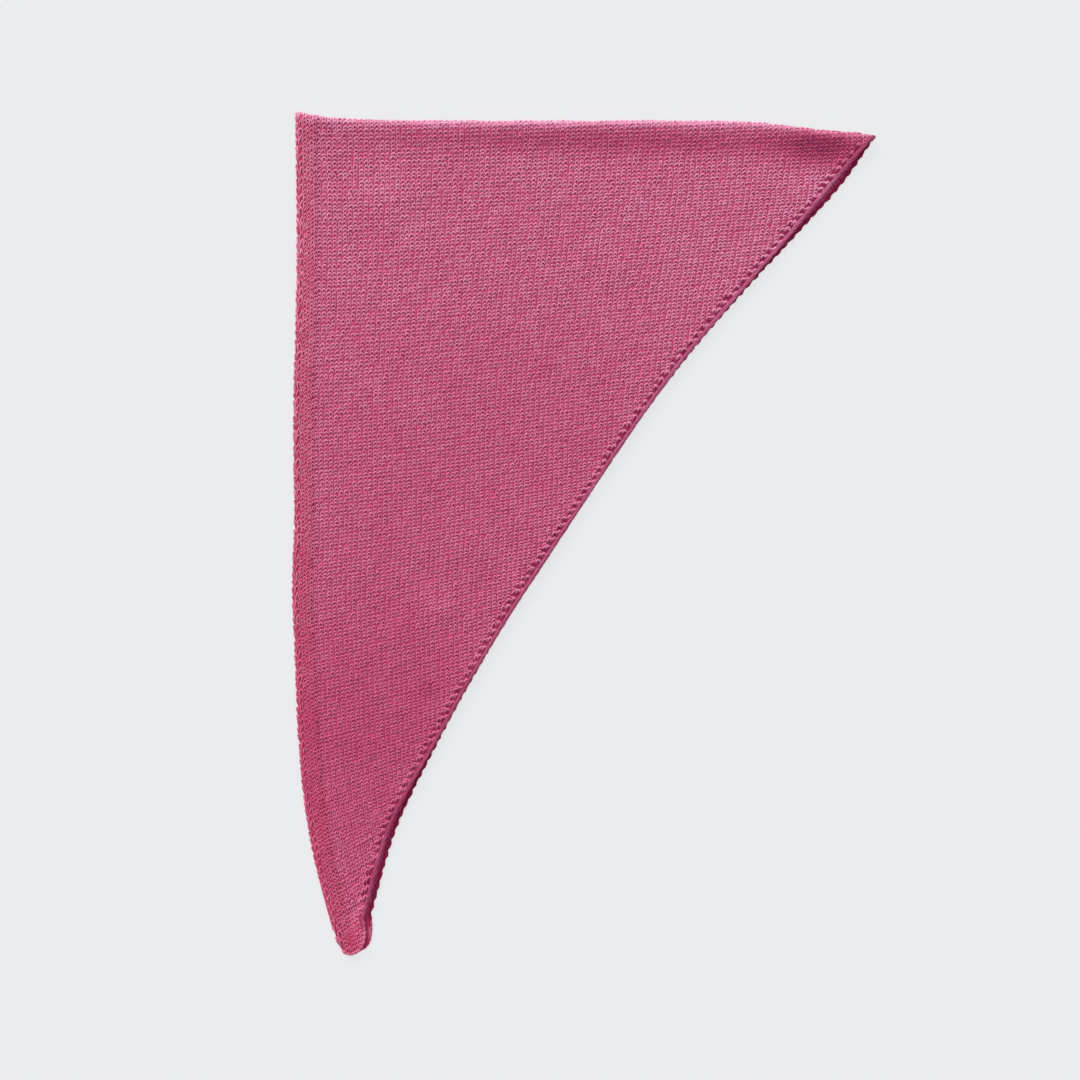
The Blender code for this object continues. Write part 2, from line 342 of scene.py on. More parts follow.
@dataclass(frozen=True)
class Outline:
    """The plan of the folded shawl: its fold line, its two sides and its rounded tips."""

    under_end: Rounding = Rounding(22.6 * MM, math.radians(8.0), 0.45)
    over_end: Rounding = Rounding(21.4 * MM, math.radians(14.0), 0.74)
    swell_fade: float = 30.0 * MM
    ridge_length: float = 25.0 * MM
    steep_from: float = 0.76
    steep_over: float = 0.12
    steep_shorter: float = 0.36
    ridge_starts: float = 4.0 * MM
    end_from: float = 651.6 * MM
    droop: float = 1.1 * MM

    def rounding(self, half: Half) -> Rounding:
        """The shape of a half's rounded end."""
        return self.over_end if half is Half.OVER else self.under_end

    def side(self, half: Half, side: Side) -> Array:
        """Trace one side of a half from the fold to its tip.

        Args:
            half: The half on top or beneath.
            side: The long edge or the shaped one.

        Returns:
            Points of X and Y, where Y falls all the way: the courses' ends, then the end's arc,
            which is the last course's half width times a power of the cosine.
        """
        way = np.linspace(0.0, 1.0, COURSE_POINTS)
        knots = np.linspace(0.0, 1.0, len(COURSES))
        read = {
            name: smooth(way, knots, [getattr(c, name) * MM for c in COURSES])
            for name in Course._fields
        }
        left = np.stack([read["left_in"], -read["left_down"]], -1)
        right = np.stack([read["right_in"], -read["right_down"]], -1)
        across = unit(right - left)
        if half is Half.UNDER:
            run = unit(np.gradient(right, axis=0))
            square = np.abs(across[:, 1] * run[:, 0] - across[:, 0] * run[:, 1])
            left = left + across * read["under_in"][:, None]
            right = right + across * (read["under_out"] / square)[:, None]
        arc = np.linspace(0.0, math.radians(88.0), 60)[1:, None]
        middle = (left[-1] + right[-1]) / 2
        length, turn, shoulder = self.rounding(half)
        lean = np.array([math.sin(turn), -math.cos(turn)])
        reach = length * np.sin(arc)
        wide = np.linalg.norm(right[-1] - left[-1]) / 2 * np.cos(arc) ** shoulder
        sign = -1.0 if side is Side.LONG_EDGE else 1.0
        end = middle + lean * reach + sign * across[-1] * wide
        points = np.concatenate([left if side is Side.LONG_EDGE else right, end])
        points = points + np.array([CORNER_X, CORNER_Y])
        points[:, 1] = np.minimum.accumulate(points[:, 1] - np.arange(len(points)) * 1e-9)
        return points

    def side_x(self, half: Half, side: Side, y: Array) -> Array:
        """The X of a side at each Y."""
        points = self.side(half, side)[::-1]
        return np.interp(y, points[:, 1], points[:, 0])

    def straight_x(self, half: Half, side: Side, y: Array) -> Array:
        """Carry a side on straight past the last course.

        Args:
            half: The half on top or beneath.
            side: The long edge or the shaped one.
            y: Where it is read.

        Returns:
            The side's X at each Y.
        """
        points = self.side(half, side)[:COURSE_POINTS]
        run = points[-1] - points[-12]
        past = np.minimum(y - points[-1, 1], 0.0)
        return np.interp(y, points[::-1, 1], points[::-1, 0]) + past * run[0] / run[1]

    def past_last(self, half: Half, x: Array, y: Array) -> Array:
        """Measure points from the last course.

        Args:
            half: The half on top or beneath.
            x: The points' X.
            y: Their Y.

        Returns:
            How far each one lies past the last course, towards the tip.
        """
        left = self.side(half, Side.LONG_EDGE)[COURSE_POINTS - 1]
        right = self.side(half, Side.SHAPED_EDGE)[COURSE_POINTS - 1]
        across = unit(right - left)
        return (x - left[0]) * across[1] - (y - left[1]) * across[0]

    def end_gap(self, half: Half, x: Array, y: Array) -> Array:
        """Measure points from the rounded end's rim.

        Args:
            half: The half on top or beneath.
            x: The points' X.
            y: Their Y.

        Returns:
            The least distance to the rim's points, less than nothing outside the rim.
        """
        left = self.side(half, Side.LONG_EDGE)[COURSE_POINTS - 1 :]
        right = self.side(half, Side.SHAPED_EDGE)[COURSE_POINTS - 1 :]
        rim = np.concatenate([left, right[::-1]])
        gap = np.hypot(x[..., None] - rim[:, 0], y[..., None] - rim[:, 1]).min(-1)
        within = x > self.side_x(half, Side.LONG_EDGE, y)
        within &= x < self.side_x(half, Side.SHAPED_EDGE, y)
        return np.where(within & (y > rim[:, 1].min()), gap, -gap)

    def side_run(self, half: Half, side: Side, y: Array) -> Array:
        """Find which way a side runs.

        Args:
            half: The half on top or beneath.
            side: The long edge or the shaped one.
            y: Where it is read.

        Returns:
            How far the side moves in X for each metre up in Y, smoothed over 20 mm.
        """
        step = 10.0 * MM
        ahead = self.straight_x(half, side, y + step)
        return (ahead - self.straight_x(half, side, y - step)) / (2 * step)

    def fold_y(self, x: Array) -> Array:
        """Find where the fold line lies.

        Args:
            x: How far along the fold.

        Returns:
            The fold line's Y at each X.
        """
        share = np.clip((x - CORNER_X) / (COURSES[0].right_in * MM), -0.02, 1.02)
        down = smooth(share, [p.share for p in FOLD_LINE], [p.down * MM for p in FOLD_LINE])
        return CORNER_Y - down

    def lift(self, x: Array, y: Array) -> Array:
        """Work out what soft rises and faint waves add to the upper half's height.

        Args:
            x: How far along the fold.
            y: The plan's other length.

        Returns:
            The rises, each a bell over an ellipse, plus four crossing sines, faded to nothing
            at the fold, plus a ridge along the fold's roll, less a droop at the tip with the
            cube of its reach.
        """
        total = patch_sum(SWELLS, x, y) * MM
        for wave in WAVES:
            turn = math.radians(wave.turn_degrees)
            run = x * math.cos(turn) + y * math.sin(turn)
            total += WAVE_HEIGHT * np.sin(run * 2 * math.pi / (wave.length * MM) + wave.phase)
        down = self.fold_y(x) - y
        tip = np.clip((CORNER_Y - self.end_from - y) / self.over_end.length, 0.0, 1.0)
        share = np.clip((x - CORNER_X) / (COURSES[0].right_in * MM), 0.0, 1.0)
        ridge = smooth(share, [r.share for r in RIDGES], [r.height * MM for r in RIDGES])
        steep = np.clip((share - self.steep_from) / self.steep_over, 0.0, 1.0)
        past = np.clip(down / (self.ridge_length * (1 - self.steep_shorter * steep)), 0.0, 1.0)
        ridge = ridge * np.clip(down / self.ridge_starts, 0.0, 1.0) * (1 - ease(past))
        return total * np.clip(down / self.swell_fade, 0.0, 1.0) + ridge - self.droop * tip**3


OUTLINE = Outline()


@dataclass(frozen=True)
class Layer:
    """A surface that follows the cloth round the fold, at its own heights.

    low is its middle's height beneath, rise how much higher it lies on top, turn_height the
    height of its half circle at the fold, and inset how far that keeps from the fold line.
    reach is how far down the half circle goes, and over sink the top settles to its height.
    """

    low: float
    rise: float
    turn_height: float
    inset: float
    reach: float = 3.2 * MM
    sink: float = 30.0 * MM

    def trace(self) -> tuple[Array, Array, Array, Array]:
        """Trace the layer's middle in the plane across the fold.

        Returns:
            s, how far down from the fold line, the height, and the outward normal, at points
            from the far end beneath, round the half circle, to the far end on top.
        """
        angle = np.linspace(-math.pi / 2, math.pi / 2, 41)
        round_down = self.inset + self.reach * (1 - np.cos(angle))
        round_high = self.low + self.turn_height * (1 + np.sin(angle)) / 2
        beyond = np.linspace(0.0, 0.72, 1441)[1:]
        flat = self.inset + self.reach + beyond
        sunk = ease(np.clip(beyond / self.sink, 0.0, 1.0))
        high = self.low + self.turn_height + (self.rise - self.turn_height) * sunk
        down = np.concatenate([flat[::-1], round_down, flat])
        height = np.concatenate([np.full(len(flat), self.low), round_high, high])
        step = np.hypot(np.diff(down), np.diff(height))
        s = np.concatenate([[0.0], np.cumsum(step)])
        s -= s[len(flat) + len(angle) // 2]
        tangent = unit(np.stack([np.gradient(down, s), np.gradient(height, s)], -1))
        return s, down, height, np.stack([-tangent[:, 1], tangent[:, 0]], -1)

    def start(self) -> float:
        """How much longer s is than the distance down, past the turn on top."""
        s, down, _, _ = self.trace()
        return float(s[-1] - down[-1])

    def place(self, x: Array, s: Array, n: Array) -> Array:
        """Put points of the cloth in space.

        Args:
            x: How far along the fold.
            s: How far down the cloth from the fold, negative beneath.
            n: How far out of the layer's middle.

        Returns:
            The middle at s, lifted on top by the soft rises, plus n along its normal.
        """
        at, down, height, normal = self.trace()
        fallen = np.interp(s, at, down)
        out_down = np.interp(s, at, normal[:, 0])
        out_high = np.interp(s, at, normal[:, 1])
        long = np.hypot(out_down, out_high)
        middle_y = OUTLINE.fold_y(x) - fallen
        high = np.interp(s, at, height) + np.where(s > 0, OUTLINE.lift(x, middle_y), 0.0)
        return np.stack([x, middle_y - n * out_down / long, high + n * out_high / long], -1)


CLOTH_LAYER = Layer(low=1.2 * MM, rise=3.3 * MM, turn_height=4.6 * MM, inset=0.8 * MM)
CORD_LAYER = Layer(low=1.55 * MM, rise=3.45 * MM, turn_height=5.2 * MM, inset=1.4 * MM)


def cloth_s(half: Half, x: Array, y: Array, start: float) -> Array:
    """The s of a point of a half by its X and Y: down from the fold line, plus the turn."""
    return half.value * (OUTLINE.fold_y(x) - y + start)


def painted_rim_highlight(x: Array, s: Array) -> Array:
    """The painted highlight of the fold's rim: how much paler it is.

    Args:
        x: How far along the fold.
        s: How far down the cloth from the fold.

    Returns:
        A bell over s, which fades out along a straight stretch before the shaped edge.
    """
    start, end = RIM_FADES
    faded = np.clip((end - x + CORNER_X) / (end - start), 0.0, 1.0)
    return RIM_HIGHLIGHT * faded * np.exp(-((s / RIM_REACH) ** 2))


# Meshes


@dataclass
class Batch:
    """Many copies of one small closed shape: points on the cloth, and what each one carries."""

    points: Array
    faces: list[tuple[int, ...]]
    face_uv: list[list[tuple[float, float]]]
    tone: Array
    depth: Array

    @property
    def copies(self) -> int:
        """How many copies there are."""
        return len(self.points)

    @property
    def triangles(self) -> int:
        """How many triangles the batch makes."""
        return self.copies * sum(len(face) - 2 for face in self.faces)

    def pick(self, chosen: Array) -> "Batch":
        """The chosen copies alone."""
        return Batch(self.points[chosen], self.faces, self.face_uv, self.tone[chosen], self.depth[chosen])


def yarn_batch(path: Array, wide: Array, thick: Array, tone: Array, sides: int = 4) -> Batch:
    """Make closed lengths of yarn along short paths on the cloth.

    Args:
        path: Copies by points by (x, y, n), where x and y are the cloth's plan.
        wide: Copies by points, half the yarn's width in the cloth's plane.
        thick: Copies by points, half its thickness out of the plane.
        tone: A random shade for each copy, from 0 to 1.
        sides: How many sides the section has.

    Returns:
        A ring of points round each path point but the first and last, which close the ends:
        the point plus the path's side times wide cos a, plus the normal times thick sin a,
        from the innermost point on.
    """
    copies, count, _ = path.shape
    run = unit(np.gradient(path[..., :2], axis=1) + 1e-12)
    aside = np.stack([-run[..., 1], run[..., 0]], -1)
    angle = np.arange(sides) * 2 * math.pi / sides - math.pi / 2
    rings = path[:, 1:-1, None, :].repeat(sides, 2)
    offset = wide[:, 1:-1, None] * np.cos(angle)
    rings[..., :2] += aside[:, 1:-1, None] * offset[..., None]
    rings[..., 2] += thick[:, 1:-1, None] * np.sin(angle)
    points = np.concatenate([path[:, :1], rings.reshape(copies, -1, 3), path[:, -1:]], 1)
    last = 1 + (count - 2) * sides
    faces: list[tuple[int, ...]] = []
    face_uv: list[list[tuple[float, float]]] = []
    for i in range(sides):
        j = (i + 1) % sides
        low, high = i / sides, (i + 1) / sides
        faces.append((0, 1 + i, 1 + j))
        face_uv.append([(0.0, (low + high) / 2), (1.0, low), (1.0, high)])
        for ring in range(count - 3):
            near, far = 1 + ring * sides, 1 + (ring + 1) * sides
            faces.append((near + i, far + i, far + j, near + j))
            face_uv.append([(ring + 1.0, low), (ring + 2.0, low), (ring + 2.0, high), (ring + 1.0, high)])
        near = last - sides
        faces.append((near + i, last, near + j))
        face_uv.append([(count - 2.0, low), (count - 1.0, (low + high) / 2), (count - 2.0, high)])
    face_uv = [[(u / (count - 1), v) for u, v in corners] for corners in face_uv]
    # Painted shade: none on the yarn's top, most on its sides and underside, more where it sinks below the
    # layer, and full at its closed ends
    ring_painted_shade = np.tile(np.clip(0.86 - 0.86 * np.sin(angle), 0.0, 1.0), count - 2)
    sunk = np.clip(-path[:, 1:-1, 2] / (0.8 * MM), 0.0, 1.0).repeat(sides, 1)
    depth = np.concatenate(
        [np.ones((copies, 1)), np.clip(ring_painted_shade[None] + 0.5 * sunk, 0, 1), np.ones((copies, 1))], 1
    )
    return Batch(points, faces, face_uv, np.repeat(tone[:, None], points.shape[1], 1), depth)


def linked(name: str, data: bpy.types.ID) -> bpy.types.Object:
    """Make an object of some data and put it in the scene.

    Args:
        name: The object's name.
        data: Its mesh, camera or light.

    Returns:
        The object.
    """
    made = bpy.data.objects.new(name, data)
    bpy.context.collection.objects.link(made)
    return made


def signed_volume(points: Array, faces: list[tuple[int, ...]]) -> float:
    """Measure one closed shape.

    Args:
        points: Its points.
        faces: The numbers of each face's points, in order.

    Returns:
        Six times the volume inside it, negative where it is inside out.
    """
    centred = points - points.mean(0)
    total = 0.0
    for face in faces:
        for k in range(1, len(face) - 1):
            total += float(np.dot(centred[face[0]], np.cross(centred[face[k]], centred[face[k + 1]])))
    return total


def paint_light_and_shade(batch: Batch, layer: Layer, half: Half, x: Array, y: Array, s: Array) -> tuple[Array, Array]:
    """Paint light and shade on a batch: painted patches, painted shade under the fold's roll, and the rim's
    painted highlight.

    Args:
        batch: The copies.
        layer: The surface that they lie on.
        half: The half that they belong to.
        x: Each point's length along the fold.
        y: Its other length in the plan.
        s: How far down the cloth it lies.

    Returns:
        The tone, plus the painted light and shade, and the painted shade, which a deep painted
        shade raises by its share and a pale one lowers. Past SHADOW_FROM the gaps between the
        yarns get a darker painted shadow than the yarns themselves, a painted shade over one.
    """
    shade = patch_sum(PAINTED_LIGHT_AND_SHADE, x, y) + painted_rim_highlight(x, s)
    if half is Half.OVER or layer is CORD_LAYER:
        shade += patch_sum(ROLL_PAINTED_SHADE, x, y)
    if half is Half.UNDER:
        shade += patch_sum(EDGE_SHADES, x, y)
    beyond = np.clip(-shade - SHADOW_FROM, 0.0, 1.0)
    depth = batch.depth + SHADE_SINKS * np.clip(-shade, 0.0, SHADOW_FROM)
    depth = depth + SHADOW_CONTRAST * (batch.depth - 0.5) * beyond
    depth = np.clip(depth, 0.0, np.maximum(batch.depth, 1.0)) * (1 - SHADE_LIFTS * np.clip(shade, 0.0, 1.0))
    depth = depth + beyond * np.clip(batch.depth, 0.0, 1.0) * 2 * (1.5 - batch.tone)
    return np.clip(batch.tone + shade, 0.0, PALEST), depth


def batch_object(name: str, batch: Batch, layer: Layer, half: Half) -> bpy.types.Object:
    """Lay a batch on a layer of the cloth as one mesh.

    Args:
        name: The piece's name.
        batch: The copies, in the cloth's plan.
        layer: The surface that they lie on.
        half: The half that they belong to.

    Returns:
        The object, with attributes tone and depth, which carry the painted light and
        shade, and a UV map along and round the yarn. Nothing goes lower than the surface that the
        shawl rests on.
    """
    x, y, n = np.moveaxis(batch.points, -1, 0)
    s = cloth_s(half, x, y, layer.start())
    placed = layer.place(x, s, n)
    placed[..., 2] = np.maximum(placed[..., 2], RESTING)
    tone, depth = paint_light_and_shade(batch, layer, half, x, y, s)
    faces, face_uv = batch.faces, batch.face_uv
    if signed_volume(placed[0], faces) < 0:
        faces = [face[::-1] for face in faces]
        face_uv = [corners[::-1] for corners in face_uv]
    copies, per_copy = placed.shape[:2]
    corners = np.concatenate([np.array(face) for face in faces])
    totals = np.array([len(face) for face in faces])
    loops = (corners[None] + np.arange(copies)[:, None] * per_copy).ravel()
    all_totals = np.tile(totals, copies)
    starts = np.concatenate([[0], np.cumsum(all_totals)[:-1]])
    mesh = bpy.data.meshes.new(name)
    mesh.vertices.add(copies * per_copy)
    mesh.vertices.foreach_set("co", placed.reshape(-1).astype(np.float32))
    mesh.loops.add(len(loops))
    mesh.loops.foreach_set("vertex_index", loops.astype(np.int32))
    mesh.polygons.add(len(all_totals))
    mesh.polygons.foreach_set("loop_start", starts.astype(np.int32))
    mesh.update(calc_edges=True)
    mesh.polygons.foreach_set("use_smooth", np.ones(len(all_totals), bool))
    uv = np.concatenate([np.array(one) for one in face_uv])
    layer_uv = mesh.uv_layers.new(name="Yarn")
    layer_uv.uv.foreach_set("vector", np.tile(uv, (copies, 1)).reshape(-1).astype(np.float32))
    for key, values in (("tone", tone), ("depth", depth)):
        attribute = mesh.attributes.new(key, "FLOAT", "POINT")
        attribute.data.foreach_set("value", values.reshape(-1).astype(np.float32))
    mesh.update()
    return linked(name, mesh)


def grid_object(
    name: str, points: Array, closed_ring: bool, tone: float | Array = 0.5, depth: float | Array = 0.6
) -> bpy.types.Object:
    """Make a mesh from a grid of points.

    Args:
        name: The piece's name.
        points: Rows by columns by X, Y and Z.
        closed_ring: True where the last column joins the first and both ends are closed.
        tone: The shade attribute, one number or one for each point.
        depth: The painted shade attribute, the same way.

    Returns:
        The object, with its faces outwards where it is closed, and a UV map over the grid.
    """
    rows, columns = points.shape[:2]
    row = np.arange(rows - 1)[:, None] * columns
    column = np.arange(columns if closed_ring else columns - 1)[None]
    after = (column + 1) % columns
    quads = np.stack([row + column, row + after, row + columns + after, row + columns + column], -1)
    faces = [tuple(face) for face in quads.reshape(-1, 4).tolist()]
    if closed_ring:
        faces.append(tuple(range(columns))[::-1])
        faces.append(tuple(range((rows - 1) * columns, rows * columns)))
    flat = points.reshape(-1, 3)
    if closed_ring and signed_volume(flat, faces) < 0:
        faces = [face[::-1] for face in faces]
    mesh = bpy.data.meshes.new(name)
    mesh.from_pydata(flat.tolist(), [], faces)
    vertex = np.empty(len(mesh.loops), np.int32)
    mesh.loops.foreach_get("vertex_index", vertex)
    span = np.stack([vertex // columns / max(rows - 1, 1), vertex % columns / columns], -1)
    mesh.uv_layers.new(name="Yarn").uv.foreach_set("vector", span.reshape(-1).astype(np.float32))
    for key, value in (("tone", tone), ("depth", depth)):
        mesh.attributes.new(key, "FLOAT", "POINT").data.foreach_set(
            "value", np.broadcast_to(value, points.shape[:2]).reshape(-1).astype(np.float32)
        )
    mesh.shade_smooth()
    mesh.update()
    return linked(name, mesh)


# Finishes


class Tree:
    """A small helper that adds and joins nodes in one node tree."""

    def __init__(self, tree: bpy.types.NodeTree) -> None:
        """Keep the tree that the nodes go into."""
        self.tree = tree

    def node(self, kind: str, **values: object) -> bpy.types.Node:
        """Add a node.

        Args:
            kind: The node's type.
            values: Its plain settings by name.

        Returns:
            The node.
        """
        made = self.tree.nodes.new(kind)
        for key, value in values.items():
            setattr(made, key, value)
        return made

    def link(self, source: bpy.types.NodeSocket, target: bpy.types.NodeSocket) -> None:
        """Join an output to an input."""
        self.tree.links.new(source, target)

    def fill(self, socket: bpy.types.NodeSocket, value: object) -> None:
        """Feed an input.

        Args:
            socket: The input.
            value: A plain value, or the output of another node.
        """
        if isinstance(value, bpy.types.NodeSocket):
            self.link(value, socket)
        else:
            socket.default_value = value

    def math(self, operation: str, first: object, second: object) -> bpy.types.NodeSocket:
        """Add a Math node.

        Args:
            operation: What it works out.
            first: Its first socket or number.
            second: Its second one.

        Returns:
            The node's output.
        """
        made = self.node("ShaderNodeMath", operation=operation)
        for socket, value in zip(made.inputs, (first, second)):
            self.fill(socket, value)
        return made.outputs[0]

    def noise(self, place: object, scale: object, detail: float) -> bpy.types.NodeSocket:
        """Add a Noise Texture.

        Args:
            place: The place where it is read.
            scale: How many of its clouds fit in a metre.
            detail: How many finer noises lie on them.

        Returns:
            The noise's value.
        """
        made = self.node("ShaderNodeTexNoise")
        for name, value in (("Vector", place), ("Scale", scale), ("Detail", detail)):
            self.fill(made.inputs[name], value)
        return made.outputs["Fac"]

    def mix(
        self, factor: object, first: object, second: object, blend: str = "MIX"
    ) -> bpy.types.NodeSocket:
        """Mix two colours.

        Args:
            factor: How much of the second colour comes in.
            first: The colour that it starts from.
            second: The colour that comes in.
            blend: How the two are joined.

        Returns:
            The mixed colour.
        """
        made = self.node("ShaderNodeMix", data_type="RGBA", blend_type=blend)
        for name, value in (("Factor", factor), ("A", first), ("B", second)):
            self.fill(made.inputs[name], value)
        return made.outputs["Result"]


def wool_group() -> bpy.types.NodeTree:
    """Build the shared wool effect.

    Returns:
        A group that turns a light, a middle and a painted shade colour into the yarn's colour,
        with its random tones and the painted light and shade that its tone attribute carries, the
        painted shade of its sunk parts, a darker painted shadow past a painted shade of one, and
        its fibres, and gives the fibres' height as well.
    """
    group = bpy.data.node_groups.new("Wool yarn", "ShaderNodeTree")
    for name, kind in (("Light", "Color"), ("Middle", "Color"), ("Painted shade", "Color"), ("Fibre scale", "Float")):
        group.interface.new_socket(name, in_out="INPUT", socket_type=f"NodeSocket{kind}")
    for name, kind in (("Color", "Color"), ("Height", "Float"), ("Roughness", "Float")):
        group.interface.new_socket(name, in_out="OUTPUT", socket_type=f"NodeSocket{kind}")
    tree = Tree(group)
    given = tree.node("NodeGroupInput")
    out = tree.node("NodeGroupOutput")
    place = tree.node("ShaderNodeTexCoord").outputs["Object"]
    cloud = tree.noise(place, 34.0, 4.0)
    fleck = tree.noise(place, 260.0, 3.0)
    stretch = tree.node("ShaderNodeMapping")
    stretch.inputs["Scale"].default_value = (3.0, 14.0, 1.0)
    stretch.inputs["Rotation"].default_value = (0.0, 0.0, 0.45)
    tree.link(tree.node("ShaderNodeUVMap", uv_map="Yarn").outputs["UV"], stretch.inputs["Vector"])
    jitter = tree.node("ShaderNodeVectorMath", operation="MULTIPLY_ADD")
    jitter.inputs[1].default_value = (900.0, 900.0, 900.0)
    tree.link(place, jitter.inputs[0])
    tree.link(stretch.outputs["Vector"], jitter.inputs[2])
    fibre = tree.noise(jitter.outputs["Vector"], given.outputs["Fibre scale"], 3.0)
    tone = tree.node("ShaderNodeAttribute", attribute_name="tone").outputs["Fac"]
    depth = tree.node("ShaderNodeAttribute", attribute_name="depth").outputs["Fac"]
    shade = tree.math("MULTIPLY", tone, 0.45)
    for cause, share in ((cloud, 0.55), (fleck, 0.35), (fibre, 0.30)):
        shade = tree.math("ADD", shade, tree.math("MULTIPLY", cause, share))
    pale = tree.mix(tree.math("SUBTRACT", shade, 0.35), given.outputs["Middle"], given.outputs["Light"])
    # Painted shade: the yarn's sunk parts mix towards the painted shade colour
    sunk = tree.mix(tree.math("MULTIPLY", depth, 0.85), pale, given.outputs["Painted shade"])
    # Painted shadow: past a painted shade of one the colour darkens further
    colour = tree.mix(tree.math("SUBTRACT", depth, 1.0), sunk, (0.24, 0.17, 0.24, 1.0), "MULTIPLY")
    tree.link(colour, out.inputs["Color"])
    tree.link(tree.math("ADD", fibre, tree.math("MULTIPLY", fleck, 0.6)), out.inputs["Height"])
    tree.link(tree.math("ADD", 0.78, tree.math("MULTIPLY", fleck, 0.22)), out.inputs["Roughness"])
    return group


@dataclass(frozen=True)
class Wool:
    """A dyed wool yarn: its lit and middle colours, its painted shade colour for sunk parts, and
    how its fibres stand.

    painted_glow is a painted glow, an emission that lifts its shadows, standing in for the
    light that reaches them by way of the fibres.
    """

    name: str
    light: tuple[float, float, float]
    middle: tuple[float, float, float]
    painted_shade_colour: tuple[float, float, float]
    painted_glow: tuple[float, float, float] = (0.062, 0.004, 0.026)
    sheen: float = 0.10
    bump: float = 0.4
    fibre_scale: float = 1.0
    fibre_height: float = 0.3 * MM
    shine: float = 0.08
    sheen_spread: float = 0.5
    sheen_tint: tuple[float, float, float] = (1.0, 0.72, 0.82)

    def build(self, group: bpy.types.NodeTree) -> bpy.types.Material:
        """Make the material.

        Args:
            group: The shared wool effect.

        Returns:
            The yarn's material, with its fibres as a bump and a soft sheen.
        """
        material = bpy.data.materials.new(self.name)
        material.use_nodes = True
        tree = Tree(material.node_tree)
        shader = material.node_tree.nodes["Principled BSDF"]
        wool = tree.node("ShaderNodeGroup", node_tree=group)
        for key, colour in (("Light", self.light), ("Middle", self.middle), ("Painted shade", self.painted_shade_colour)):
            wool.inputs[key].default_value = (*colour, 1.0)
        wool.inputs["Fibre scale"].default_value = self.fibre_scale
        bump = tree.node("ShaderNodeBump")
        bump.inputs["Strength"].default_value = self.bump
        bump.inputs["Distance"].default_value = self.fibre_height
        tree.link(wool.outputs["Height"], bump.inputs["Height"])
        tree.link(bump.outputs["Normal"], shader.inputs["Normal"])
        tree.link(wool.outputs["Color"], shader.inputs["Base Color"])
        tree.link(wool.outputs["Roughness"], shader.inputs["Roughness"])
        # Painted glow: an emission that lifts the yarn's shadows, standing in for light through the fibres
        shader.inputs["Emission Color"].default_value = (*self.painted_glow, 1.0)
        shader.inputs["Emission Strength"].default_value = 1.0
        shader.inputs["Specular IOR Level"].default_value = self.shine
        shader.inputs["Sheen Weight"].default_value = self.sheen
        shader.inputs["Sheen Roughness"].default_value = self.sheen_spread
        shader.inputs["Sheen Tint"].default_value = (*self.sheen_tint, 1.0)
        return material


FIELD_WOOL = Wool("Stocking stitch wool", (0.80, 0.42, 0.58), (0.69, 0.186, 0.326), (0.38, 0.018, 0.074))
BAND_WOOL = Wool(
    "Band wool",
    (0.81, 0.41, 0.57),
    (0.69, 0.155, 0.290),
    (0.39, 0.011, 0.053),
    painted_glow=(0.058, 0.002, 0.018),
    sheen=0.05,
)
# A darker copy of the wool for the shaped edge's cord, painted shade of its side turned from the light
CORD_WOOL_PAINTED_SHADE = Wool(
    "Rolled cord wool, painted shade",
    (0.56, 0.200, 0.330),
    (0.42, 0.090, 0.190),
    (0.24, 0.010, 0.050),
    painted_glow=(0.040, 0.0, 0.010),
    sheen=0.06,
)
# A darker copy of the cord's wool for the lower half's cord, painted shadow where the upper half shades it
LOWER_CORD_PAINTED_SHADOW_WOOL = Wool(
    "Lower cord wool, painted shadow",
    (0.46, 0.070, 0.160),
    (0.30, 0.030, 0.090),
    (0.17, 0.004, 0.030),
    painted_glow=(0.040, 0.0, 0.008),
    sheen=0.02,
)
FUZZ_WOOL = Wool("Loose fibres", (0.94, 0.64, 0.72), (0.88, 0.47, 0.58), (0.60, 0.10, 0.22))


@dataclass(frozen=True)
class Floor:
    """The plain pale surface that the shawl lies on, with a light of its own."""

    half_side: float = 12.0
    colour: tuple[float, float, float] = (0.08, 0.081, 0.083)
    glow: tuple[float, float, float] = (0.748, 0.755, 0.768)

    def build(self) -> bpy.types.Object:
        """Lay the surface just under the shawl.

        Returns:
            One large square.
        """
        side = self.half_side
        corners = [(-side, -side, 0), (side, -side, 0), (side, side, 0), (-side, side, 0)]
        mesh = bpy.data.meshes.new("Floor")
        mesh.from_pydata(corners, [], [(0, 1, 2, 3)])
        material = bpy.data.materials.new("Pale paper")
        material.use_nodes = True
        tree = Tree(material.node_tree)
        shader = material.node_tree.nodes["Principled BSDF"]
        grain = tree.noise(tree.node("ShaderNodeTexCoord").outputs["Object"], 900.0, 2.0)
        rough = tree.math("ADD", 0.85, tree.math("MULTIPLY", grain, 0.1))
        tree.link(rough, shader.inputs["Roughness"])
        shader.inputs["Base Color"].default_value = (*self.colour, 1.0)
        shader.inputs["Emission Color"].default_value = (*self.glow, 1.0)
        shader.inputs["Emission Strength"].default_value = 1.0
        shader.inputs["Specular IOR Level"].default_value = 0.0
        mesh.materials.append(material)
        made = linked("Floor", mesh)
        return made


# The knitting


